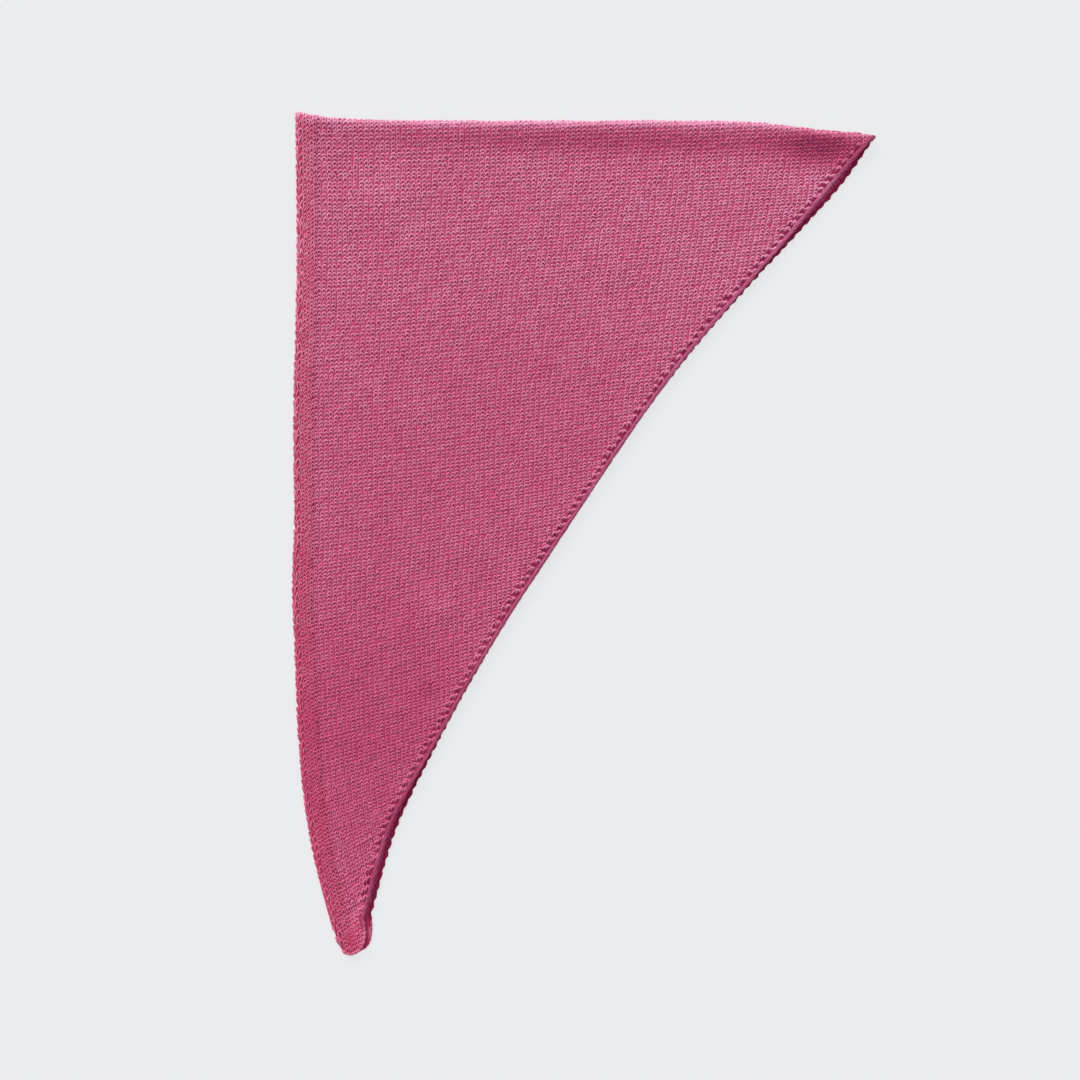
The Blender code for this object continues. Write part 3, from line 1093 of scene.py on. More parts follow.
@dataclass(frozen=True)
class Knitting:
    """The stocking stitch of one half: rows and wales, and a loop of yarn for each stitch."""

    half: Half
    band: float = 16.3 * MM
    clear: float = 2.5 * MM
    dash: float = 6.6 * MM
    dash_painted_shadow: float = 1.8
    dash_end: float = 13.0 * MM
    dash_from: float = 9.0 * MM
    last_from: float = 2.4 * MM
    last_over: float = 2.0 * MM
    under_from: float = 3.4 * MM
    sunk: float = 0.75
    rim: float = 1.7 * MM
    foot_rim: float = 0.8 * MM
    end_rise: float = 0.45
    climb_length: float = 9.0 * MM
    tall_from: float = 500.0 * MM
    tall_over: float = 90.0 * MM
    tall_narrower: float = 0.12
    leg_rise: float = 1.10
    head_fall: float = 0.60
    leg_fuller: float = 0.55
    head_finer: float = 0.24
    rows: int = 236
    wales: int = 108
    settle: float = math.radians(3.2)
    settle_length: float = 56.0 * MM
    past_fold: float = 5.0 * MM
    yarn_width: float = 0.86 * MM
    yarn_depth: float = 0.80 * MM
    under_fuller: float = 1.45
    streaks: tuple[float, ...] = (14.0 * MM, 29.0 * MM, 61.0 * MM)
    streak_amount: float = 0.32
    wale_streaks: float = 1.2
    seed: int = 7

    def row_down(self, row: Array) -> Array:
        """Find how far down the long edge rows start.

        Args:
            row: Row numbers, less than nothing above the corner.

        Returns:
            The sum of the rows' heights above each one.
        """
        down = np.linspace(0.0, 0.72, 1500)
        height = gauge_at(down, "row") * MM
        count = np.concatenate([[0.0], np.cumsum(np.diff(down) / height[1:])])
        first = GAUGES[0].row * MM
        return np.where(row < 0, row * first, np.interp(row, count, down))

    def lattice(self, row: Array, wale: Array) -> tuple[Array, Array]:
        """Find the middle of each stitch in the plan.

        Args:
            row: Row numbers, which may hold fractions.
            wale: Wale numbers from the long edge's band.

        Returns:
            X and Y, where a row rises from the band by its tilt, less a settling near the
            band, and a wale stays its number times the wale's width from the long edge.
        """
        down = self.row_down(row)
        tilt = np.tan(np.radians(gauge_at(down, "tilt")))
        y = CORNER_Y - down
        x = np.full(y.shape, CORNER_X)
        for _ in range(10):
            wide = gauge_at(CORNER_Y - y, "wale") * MM
            inward = (wale + 0.5) * wide
            x = OUTLINE.straight_x(self.half, Side.LONG_EDGE, y) + self.band + inward
            fall = math.tan(self.settle) * self.settle_length * (1 - np.exp(-inward / self.settle_length))
            y = CORNER_Y - down + tilt * inward - fall
        return x, y

    def loops(self, end: bool) -> Batch:
        """Make the stitches of the half's field, or those of its rounded end.

        Args:
            end: True for the stitches past the last course.

        Returns:
            For each stitch an arch of yarn from foot to head to foot, in wale widths and row
            heights round the stitch's middle, with its feet sunk under the next row, and with
            small random turns, sizes and heights. Near the shaped edge every second row is
            sunk and shows as a deep dash of painted shadow, and the row above it ends in a thick,
            pale stitch.
            The shade follows soft sines along each row. Towards the tip the legs stand higher
            than the heads and show as lines, and the sines follow the wales.
        """
        chance = np.random.default_rng(self.seed)
        row, wale = np.meshgrid(
            np.arange(-3, self.rows, dtype=float), np.arange(self.wales, dtype=float), indexing="ij"
        )
        x, y = self.lattice(row, wale)
        # Slow sines keep the rows and the wales from lying dead straight
        x = x + 0.22 * MM * np.sin(y / (9.0 * MM) + wale * 1.7) + 0.16 * MM * np.sin(x / (13.0 * MM))
        y = y + 0.20 * MM * np.sin(x / (11.0 * MM) + row * 2.3) + 0.15 * MM * np.sin(x / (37.0 * MM) + row)
        along_row = np.stack([np.gradient(x, axis=1), np.gradient(y, axis=1)], -1)
        along_wale = np.stack([np.gradient(x, axis=0), np.gradient(y, axis=0)], -1)
        edge = OUTLINE.side_x(self.half, Side.SHAPED_EDGE, y)
        slope = OUTLINE.side_run(self.half, Side.SHAPED_EDGE, y)
        to_edge = (edge - x) / np.sqrt(1 + slope**2)
        s = OUTLINE.fold_y(x) - y + CLOTH_LAYER.start()
        first = -self.past_fold if self.half is Half.OVER else self.under_from
        beyond = OUTLINE.past_last(self.half, x, y)
        past = beyond > 0.0
        short = (np.mod(row, 2) > 0.5) & (to_edge < self.dash) & (beyond < -self.dash_end)
        short &= s > self.dash_from
        foot_x, foot_y = x + along_wale[..., 0], y + along_wale[..., 1]
        keep = (s > first) & (past == end) & (past | (to_edge > self.clear))
        keep &= OUTLINE.end_gap(self.half, x, y) > self.rim
        keep &= OUTLINE.end_gap(self.half, foot_x, foot_y) > self.foot_rim
        x, y, row, wale = x[keep], y[keep], row[keep], wale[keep]
        to_edge, short = to_edge[keep], short[keep]
        climb = self.end_rise * np.clip(1 + beyond[keep] / self.climb_length, 0.0, 1.0)
        along_row, along_wale = along_row[keep], along_wale[keep]
        tall = np.clip((CORNER_Y - y - self.tall_from) / self.tall_over, 0.0, 1.0)
        count = len(x)
        arch = np.array(ARCH if self.half is Half.OVER else PLAIN_ARCH)
        leg = (np.abs(arch[:, 0]) / np.abs(arch[:, 0]).max()) ** 2
        width = arch[:, 3] * (1 + tall[:, None] * (self.leg_fuller * leg - self.head_finer))
        shape = arch[None, :, :3].repeat(count, 0)
        shape[..., 0] *= chance.normal(1.0, 0.09, (count, 1)) * (1 - self.tall_narrower * tall[:, None])
        shape[..., 1] *= chance.normal(1.0, 0.12, (count, 1))
        shape[..., 0] += chance.normal(0.0, 0.07, (count, 1)) * (1 - shape[..., 1])
        shape[..., 1] += chance.normal(0.0, 0.10, (count, 1)) * shape[..., 0]
        shape[..., :2] += chance.normal(0.0, 0.04, (count, len(arch), 2))
        rise = chance.normal(0.0, 0.15, (count, 1)) + chance.normal(0.0, 0.10, (count, len(arch)))
        last = np.clip((self.dash + self.last_from - to_edge) / self.last_over, 0.0, 1.0)
        last = last * (np.mod(row, 2) < 0.5) * (not end)
        rise = rise + 0.30 * last[:, None] - self.sunk * short[:, None] + climb[:, None]
        rise = rise - (CORD_LAYER.rise - CLOTH_LAYER.rise) / MM * end
        rise = rise + tall[:, None] * (self.leg_rise * leg - self.head_fall)
        path = np.empty((count, len(arch), 3))
        path[..., :2] = (
            np.stack([x, y], -1)[:, None]
            + shape[..., :1] * along_row[:, None]
            + shape[..., 1:2] * along_wale[:, None]
        )
        path[..., 2] = (shape[..., 2] + rise) * MM
        size = chance.normal(1.0, 0.10, (count, 1)) * (1 + 0.12 * last[:, None])
        wide = self.yarn_width * width * size * (1.0 if self.half is Half.OVER else self.under_fuller)
        thick = self.yarn_depth * width * size
        phase = chance.uniform(0.0, 2 * math.pi, (self.rows + 3, len(self.streaks)))[(row + 3).astype(int)]
        wave = np.sin(x[:, None] * 2 * math.pi / np.array(self.streaks) + phase).mean(1)
        phase = chance.uniform(0.0, 2 * math.pi, (self.wales, len(self.streaks)))[wale.astype(int)]
        down_wale = np.sin(y[:, None] * 2 * math.pi / np.array(self.streaks) + phase).mean(1)
        wave = wave * (1 - tall) + self.wale_streaks * down_wale * tall
        tone = chance.normal(0.5, 0.15, count) + self.streak_amount * wave
        # Painted shadow in the dashes: a lower tone, and a painted shade past one
        tone = np.clip(tone + 0.45 * last - 0.5 * short, 0.0, 1.0)
        batch = yarn_batch(path, wide, thick, tone, 4 if self.half is Half.OVER else 3)
        batch.depth = np.maximum(batch.depth, self.dash_painted_shadow * short[:, None])
        return batch


@dataclass
class Body:
    """The stocking stitch field: a thin folded cloth and the stitches on both of its halves."""

    band: float = 14.4 * MM
    cord: float = 2.3 * MM
    thickness: float = 1.1 * MM
    inset: float = -0.60 * MM
    end: float = 650.0 * MM
    columns: int = 34
    flat_width: float = 0.445
    flat_length: float = 1.32
    flat_area: float = 0.285
    most_triangles: int = 190000
    pieces: list[bpy.types.Object] = field(default_factory=list)

    def cloth(self) -> bpy.types.Object:
        """Make the cloth that the stitches' feet sink into.

        Returns:
            A grid across and round the fold: at each s, X goes from the long band to the
            shaped cord by equal shares, at a height inside the solid, with a wall outside it.
        """
        start = CLOTH_LAYER.start()
        by_fold = np.linspace(0.0, 40.0, 24) * MM
        over = np.concatenate([by_fold, np.linspace(44.0, self.end / MM - 8, 120) * MM])
        s = np.concatenate([-over[:0:-1], over])[:, None]
        share = np.linspace(0.0, 1.0, self.columns + 1)[None]
        x = np.zeros((len(s), self.columns + 1)) + CORNER_X
        for _ in range(8):
            y = OUTLINE.fold_y(x) + start - np.abs(s)
            sides = []
            for side in Side:
                over_x = OUTLINE.side_x(Half.OVER, side, y)
                under_x = OUTLINE.side_x(Half.UNDER, side, y)
                slope = OUTLINE.side_run(Half.OVER, side, y)
                width = self.band if side is Side.LONG_EDGE else -self.cord
                sides.append(np.where(s >= 0, over_x, under_x) + width * np.sqrt(1 + slope**2))
            x = sides[0] * (1 - share) + np.maximum(sides[1], sides[0] + 1 * MM) * share
        points = CLOTH_LAYER.place(x, np.broadcast_to(s, x.shape), np.full(x.shape, self.inset))
        # Painted shade: the cloth is in full painted shade between the stitches, lifted along the fold by
        # the rim's painted highlight
        pale = np.clip(painted_rim_highlight(x, s), 0.0, 1.0)
        made = grid_object("Stocking_stitch_cloth", points[:, ::-1], False, 0.3 + pale, 1 - 0.6 * pale)
        wall = made.modifiers.new("Wall", "SOLIDIFY")
        wall.thickness = self.thickness
        wall.offset = 0.0
        return made

    def build(self, wool: bpy.types.Material) -> bpy.types.Object:
        """Make the cloth and its stitches, dress them, and hide the CAD part that they stand in for.

        Args:
            wool: The field's material.

        Returns:
            The cloth. Its stitches are kept in pieces.
        """
        cloth = self.cloth()
        cloth.data.materials.append(wool)
        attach(cloth, "root")
        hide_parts("knitted_body")
        for half, word in HALVES:
            batch = Knitting(half, seed=7 + half.value).loops(end=False)
            parts = math.ceil(batch.triangles / self.most_triangles)
            order = np.argsort(-batch.points[:, 0, 1])
            for number, chosen in enumerate(np.array_split(order, parts), 1):
                name = f"{word}_stitches_{number}"
                made = batch_object(name, batch.pick(chosen), CLOTH_LAYER, half)
                made.data.materials.append(wool)
                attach(made, "root")
                self.pieces.append(made)
                logging.info("%s: %d stitches", name, len(chosen))
        return cloth


def run_length(line: Array) -> Array:
    """Measure how far along a line each of its points lies."""
    return np.concatenate([[0.0], np.cumsum(np.linalg.norm(np.diff(line, axis=0), axis=1))])


def read_along(at: Array, length: Array, values: Array) -> Array:
    """Read a line's points or directions at some lengths along it."""
    return np.stack([np.interp(at, length, values[:, 0]), np.interp(at, length, values[:, 1])], -1)


def plait(
    line: Array, step: float, lean: float, wide: float, thick: float, height: float, seed: int
) -> Batch:
    """Lay a chain of loops along a line on the cloth, as a knitted or cast-off edge shows.

    Args:
        line: Points of the line in the plan.
        step: The length of one loop along it.
        lean: How far each leg starts and ends to the side of the line.
        wide: Half the yarn's width.
        thick: Half its thickness.
        height: How far out of the layer's middle the legs lie.
        seed: The seed of the small random changes.

    Returns:
        Two legs for each step: a leg runs from the line to its side over a step and a half,
        rising in the middle and sinking at both ends.
    """
    chance = np.random.default_rng(seed)
    length = run_length(line)
    start = np.arange(0.0, length[-1] - 1.3 * step, step)
    start, sign = (a.ravel() for a in np.meshgrid(start, np.array([-1.0, 1.0]), indexing="ij"))
    count = len(start)
    share = np.array([0.0, 0.2, 0.5, 0.8, 1.0])
    at = start[:, None] + share * 1.5 * step + chance.normal(0.0, 0.05 * step, (count, 1))
    at = np.clip(at, 0.0, length[-1])
    aside = sign[:, None] * lean * (0.15 + 0.85 * share) + chance.normal(0.0, 0.1 * lean, (count, 1))
    fine = np.stack([np.gradient(line[:, 0], length), np.gradient(line[:, 1], length)], -1)
    point = read_along(at, length, line)
    run = unit(read_along(at, length, fine))
    out = np.array([-0.7, 0.1, 0.3, 0.1, -0.7]) * thick + height
    path = np.empty((count, 5, 3))
    path[..., :2] = point + np.stack([-run[..., 1], run[..., 0]], -1) * aside[..., None]
    path[..., 2] = out + chance.normal(0.0, 0.1 * thick, (count, 1))
    width = np.array([0.0, 0.9, 1.0, 0.85, 0.0]) * chance.normal(1.0, 0.08, (count, 1))
    return yarn_batch(path, wide * width, thick * width, np.clip(chance.normal(0.5, 0.25, count), 0.0, 1.0))


@dataclass(frozen=True)
class BandColumn:
    """One column of the long band: where it lies, how wide it is and how many rows a loop is."""

    across: float
    width: float
    rows: float
    start: float
    yarn: float


@dataclass
class LongBand:
    """The slipped band along the long edge: a rolled cord with columns of tall, loose loops."""

    width: float = 15.2 * MM
    roll: float = 1.55 * MM
    inside: float = 0.7 * MM
    core_narrower: float = 0.6 * MM
    ring: int = 16
    core_row: float = 212.0
    slopes: float = 0.75 * MM
    last_row: float = 229.0
    rim: float = 0.5 * MM
    jitter: float = 0.05
    columns: tuple[BandColumn, ...] = (
        BandColumn(0.3 * MM, 3.3 * MM, 2.0, 0.6, 0.88 * MM),
        BandColumn(3.3 * MM, 3.7 * MM, 2.0, 0.0, 0.90 * MM),
        BandColumn(6.7 * MM, 2.9 * MM, 1.0, 0.9, 0.68 * MM),
        BandColumn(9.4 * MM, 2.9 * MM, 1.0, 0.3, 0.68 * MM),
        BandColumn(12.1 * MM, 3.0 * MM, 1.0, 0.6, 0.70 * MM),
        BandColumn(14.9 * MM, 2.9 * MM, 1.0, 0.1, 0.70 * MM),
    )

    def section(self, across: Array, out: Array) -> tuple[Array, Array]:
        """Go round the rolled edge and over the flat top.

        Args:
            across: The length over the band from the middle of its rolled side.
            out: How far outside the band's surface.

        Returns:
            How far in from the edge, and how far out of the layer's middle: a quarter circle
            of the roll's radius, then a straight line that falls a little towards the field.
        """
        bend = self.roll * math.pi / 2
        angle = np.minimum(across, bend) / self.roll
        radius = self.roll + out
        flat = np.maximum(across - bend, 0.0)
        inward = self.roll - radius * np.cos(angle) + flat
        return inward, radius * np.sin(angle) - self.slopes * np.clip(flat / self.width, 0.0, 1.2)

    def core(self) -> bpy.types.Object:
        """Make the band's core, which follows the fold.

        Returns:
            A closed bar with round sides: across and up it follows powers of the cosine and
            the sine, and it is thinner towards the field.
        """
        knit = Knitting(Half.OVER)
        start = CORD_LAYER.start()
        down = knit.row_down(np.arange(0, self.core_row + 2, 1.0))
        s = np.concatenate([-(down[::-1] + start), (np.arange(-3, 4) * MM)[1:-1], down + start])
        s = np.unique(np.round(s, 6))
        angle = np.linspace(0.0, 2 * math.pi, self.ring, endpoint=False)
        half_wide = (self.width - self.core_narrower) / 2 - self.inside
        half_thick = self.roll - self.inside
        wide = np.sign(np.cos(angle)) * np.abs(np.cos(angle)) ** 0.35 * half_wide
        high = np.sign(np.sin(angle)) * np.abs(np.sin(angle)) ** 0.8 * half_thick
        high = high * (1 - 0.35 * (1 + wide / half_wide))
        rings = []
        for half in (Half.UNDER, Half.OVER):
            part = s[s < 0] if half is Half.UNDER else s[s >= 0]
            y = np.minimum(CORNER_Y + start - np.abs(part), CORNER_Y)
            x = OUTLINE.side_x(half, Side.LONG_EDGE, y)[:, None] + self.width / 2 + wide[None]
            part, out = np.broadcast_to(part[:, None], x.shape), np.broadcast_to(high[None], x.shape)
            rings.append(CORD_LAYER.place(x, part, out))
        # The core carries full painted shade, where it shows between the loops
        return grid_object("Long_band_core", np.concatenate(rings), True, 0.4, 1.0)

    def column_loops(self, half: Half, column: BandColumn, seed: int) -> Batch:
        """Make one column's loops.

        Args:
            half: The half that they belong to.
            column: The column.
            seed: The seed of the small random changes.

        Returns:
            An arch of yarn for every loop of the column, wide and round where it stands for
            two rows, on the band's own section, with small random changes.
        """
        chance = np.random.default_rng(seed)
        knit = Knitting(half)
        first = column.start - 1.0 if half is Half.OVER else column.start + 0.8
        centre = np.arange(first, self.last_row, column.rows)
        count = len(centre)
        centre = centre + chance.normal(0.0, 0.10 * column.rows, count)
        arch = np.array(ARCH if half is Half.OVER else PLAIN_ARCH)
        width = arch[:, 3]
        shape = arch[None, :, :3].repeat(count, 0)
        shape[..., 0] += chance.normal(0.0, 0.07, (count, 1)) * (1 - 2 * shape[..., 1])
        shape[..., :2] += chance.normal(0.0, self.jitter * column.rows, (count, len(arch), 2))
        across = column.across + column.width / 2 + shape[..., 0] * column.width
        y = CORNER_Y - knit.row_down(centre[:, None] + shape[..., 1] * column.rows)
        rise = chance.normal(0.0, 0.07 * column.rows, (count, len(arch)))
        inward, out = self.section(across, (shape[..., 2] * column.yarn / (0.9 * MM) + rise - 0.50) * MM)
        path = np.empty((count, len(arch), 3))
        path[..., 0] = OUTLINE.straight_x(half, Side.LONG_EDGE, y) + inward
        path[..., 1] = y
        path[..., 2] = out
        keep = OUTLINE.end_gap(half, path[..., 0], path[..., 1]).min(-1) > self.rim
        size = column.yarn * width * chance.normal(1.0, 0.10, (count, 1))
        tone = np.clip(chance.normal(0.5, 0.28, count), 0.0, 1.0)
        sides = 4 if half is Half.OVER else 3
        return yarn_batch(path[keep], size[keep], size[keep] * 0.85, tone[keep], sides)

    def build(self, wool: bpy.types.Material) -> list[bpy.types.Object]:
        """Make the band's core and its loops, and hide the CAD part that they stand in for.

        Args:
            wool: The band's material.

        Returns:
            The core and one piece for each column of each half.
        """
        core = self.core()
        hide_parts("long_edge_cord")
        made = [core]
        for half, word in HALVES:
            for number, column in enumerate(self.columns, 1):
                batch = self.column_loops(half, column, 40 + 10 * half.value + number)
                made.append(batch_object(f"{word}_band_loops_{number}", batch, CORD_LAYER, half))
        for piece in made:
            piece.data.materials.append(wool)
            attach(piece, "root")
        logging.info("Long band: %d pieces", len(made))
        return made


@dataclass
class ShapedCord:
    """The cord along one half's shaped edge, with the slanting stitches of every second row."""

    half: Half
    node: str
    word: str
    # shade sets the cord's tone and painted shade; the lower cord's low shade is painted shadow
    shade: float
    width: float = 3.2 * MM
    thick: float = 3.1 * MM
    inside: float = 0.35 * MM
    scallop: float = 0.03
    scallop_length: float = 8.6 * MM
    knot_in: float = 7.2 * MM
    knot_fall: float = 0.6 * MM
    knot_length: float = 5.6 * MM
    knot_slant: float = math.radians(16.0)
    ring: int = 12
    rows: int = 224
    start_down: float = 19.4 * MM
    end_down: float = 656.0 * MM
    taper_length: float = 7.0 * MM
    knots_down: float = 24.0 * MM
    knots_short: float = 14.0 * MM

    def edge(self, row: Array) -> tuple[Array, Array]:
        """Find where rows meet the shaped edge.

        Args:
            row: Row numbers.

        Returns:
            The points in the plan, and the edge's unit run down towards the tip.
        """
        knit = Knitting(self.half)
        down = knit.row_down(row)
        tilt = np.tan(np.radians(gauge_at(down, "tilt")))
        y = CORNER_Y - down
        for _ in range(80):
            x = OUTLINE.side_x(self.half, Side.SHAPED_EDGE, y)
            inward = x - OUTLINE.side_x(self.half, Side.LONG_EDGE, y) - knit.band
            fall = math.tan(knit.settle) * knit.settle_length
            y = 0.6 * y + 0.4 * (CORNER_Y - down + tilt * inward - fall)
        x = OUTLINE.side_x(self.half, Side.SHAPED_EDGE, y)
        run = OUTLINE.side_run(self.half, Side.SHAPED_EDGE, y)
        return np.stack([x, y], -1), unit(np.stack([-run, -np.ones_like(run)], -1))

    def middle(self, count: int, inset: float) -> tuple[Array, Array, Array]:
        """Trace a line at a distance inside the edge.

        Args:
            count: How many points to give.
            inset: How far inside the edge the line runs.

        Returns:
            The points in the plan, the unit directions inwards, and the length along the edge.
        """
        y = np.linspace(CORNER_Y - self.start_down, CORNER_Y - self.end_down, count)
        x = OUTLINE.side_x(self.half, Side.SHAPED_EDGE, y)
        run = OUTLINE.side_run(self.half, Side.SHAPED_EDGE, y)
        run = unit(np.stack([-run, -np.ones_like(run)], -1))
        inward = np.stack([run[:, 1], -run[:, 0]], -1)
        along = np.concatenate([[0.0], np.cumsum(np.hypot(np.diff(x), np.diff(y)))])
        return np.stack([x, y], -1) + inward * inset, inward, along

    def taper(self, along: Array, last: float) -> Array:
        """Give the share of the cord's thickness: the root of how much is left of its taper."""
        return np.sqrt(np.clip((last - along) / self.taper_length, 0.03, 1.0))

    def core(self) -> bpy.types.Object:
        """Sweep the cord's round section down the edge.

        Returns:
            A closed bar, a little thicker at every second row and drawn in at its end.
        """
        line, inward, along = self.middle(480, self.width / 2)
        beat = np.sin(along * 2 * math.pi / self.scallop_length)
        half_wide = self.width / 2 - self.inside + self.scallop * self.width * beat
        half_thick = self.thick / 2 - self.inside + 0.25 * self.scallop * self.width * beat
        half_wide, half_thick = (size * self.taper(along, along[-1]) for size in (half_wide, half_thick))
        angle = np.linspace(0.0, 2 * math.pi, self.ring, endpoint=False)
        flat = line[:, None] + inward[:, None] * (half_wide[:, None] * np.cos(angle))[..., None]
        out = half_thick[:, None] * np.sin(angle)
        s = cloth_s(self.half, flat[..., 0], flat[..., 1], CORD_LAYER.start())
        points = CORD_LAYER.place(flat[..., 0], s, out)
        # Painted shade on the core, deeper where the cord's shade is low
        return grid_object(f"{self.word}_cord_core", points, True, self.shade, 0.9 - 0.5 * self.shade)

    def wrap(self) -> Batch:
        """Lay long thin legs over the cord's round.

        Returns:
            Legs as long as two rows along the cord, at five places round its section, each
            slanting a little, so that the cord looks smooth with a faint grain along it.
        """
        chance = np.random.default_rng(61 + self.half.value)
        _, _, along = self.middle(700, 0.0)
        step = self.scallop_length * 0.62
        start = np.arange(0.0, along[-1] - step, step)
        start, place = (a.ravel() for a in np.meshgrid(start, np.arange(5.0), indexing="ij"))
        count = len(start)
        share = np.array([0.0, 0.16, 0.5, 0.84, 1.0])
        at = start[:, None] + (share * 1.45 + place[:, None] * 0.37) * step
        at = np.clip(at + chance.normal(0.0, 0.06 * step, (count, 1)), 0.0, along[-1])
        turn = math.radians(-28.0) + place[:, None] * math.radians(46.0)
        turn = turn + math.radians(26.0) * (share - 0.5) + chance.normal(0.0, 0.16, (count, 1))
        beat = np.sin(at * 2 * math.pi / self.scallop_length)
        taper = self.taper(at, along[-1])
        reach = (self.width / 2 - 0.52 * MM + self.scallop * self.width * beat) * taper
        line, inward, _ = self.middle(700, self.width / 2)
        point = read_along(at, along, line)
        aside = read_along(at, along, inward)
        path = np.empty((count, 5, 3))
        path[..., :2] = point - aside * (reach * np.cos(turn))[..., None]
        path[..., 2] = (self.thick / 2 - 0.48 * MM) * np.sin(turn) * taper
        size = np.array([0.0, 0.85, 1.0, 0.85, 0.0]) * chance.normal(1.0, 0.18, (count, 1))
        tone = np.clip(chance.normal(self.shade, 0.34, count), 0.0, 1.0)
        size = size * taper
        return yarn_batch(path, 0.70 * MM * size, 0.64 * MM * size, tone)

    def knots(self) -> Batch:
        """Lay the slanting stitches where rows were added or taken away.

        Returns:
            For every second row a thick leg that falls towards the cord, over the row's last
            stitches, proud at its middle and sunk at both ends.
        """
        chance = np.random.default_rng(71 + self.half.value)
        point, _ = self.edge(np.arange(4.0, self.rows, 2.0))
        keep = point[:, 1] < CORNER_Y - self.knots_down
        keep &= point[:, 1] > CORNER_Y - self.end_down + self.knots_short
        point = point[keep]
        count = len(point)
        middle = point + np.array([-self.knot_in, -self.knot_fall])
        middle = middle + chance.normal(0.0, 0.35 * MM, (count, 2))
        slant = self.knot_slant + chance.normal(0.0, 0.16, count)
        along = np.stack([np.cos(slant), -np.sin(slant)], -1)
        share = np.array([-0.5, -0.32, 0.0, 0.32, 0.5])
        length = self.knot_length * chance.normal(1.0, 0.12, count)
        path = np.empty((count, 5, 3))
        path[..., :2] = middle[:, None] + along[:, None] * (share * length[:, None])[..., None]
        path[..., 2] = (np.array([-0.7, 0.25, 0.7, 0.3, -0.7]) + chance.normal(0.0, 0.12, (count, 1))) * MM
        size = np.array([0.0, 0.85, 1.0, 0.85, 0.0]) * chance.normal(1.0, 0.10, (count, 1))
        tone = np.clip(chance.normal(0.8, 0.2, count), 0.0, 1.0)
        return yarn_batch(path, 0.88 * MM * size, 0.74 * MM * size, tone)

    def build(self, wool: bpy.types.Material, knot_wool: bpy.types.Material) -> list[bpy.types.Object]:
        """Make the cord's pieces, dress them, and hide the CAD part that they stand in for.

        Args:
            wool: The material of the cord and its wrap.
            knot_wool: The material of its slanting stitches.

        Returns:
            The core, the wrap and the slanting stitches.
        """
        core = self.core()
        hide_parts(self.node)
        knots = batch_object(f"{self.word}_edge_knots", self.knots(), CLOTH_LAYER, self.half)
        wrap = batch_object(f"{self.word}_cord_wrap", self.wrap(), CORD_LAYER, self.half)
        made = [core, wrap, knots]
        for piece in made:
            piece.data.materials.append(knot_wool if piece is knots else wool)
            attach(piece, "root")
        logging.info("%s shaped cord: %d pieces", self.word, len(made))
        return made


class Chain(NamedTuple):
    """A chain of loops round an end: how far in and how far out it lies, and its yarn."""

    word: str
    inset: float
    height: float
    yarn: float


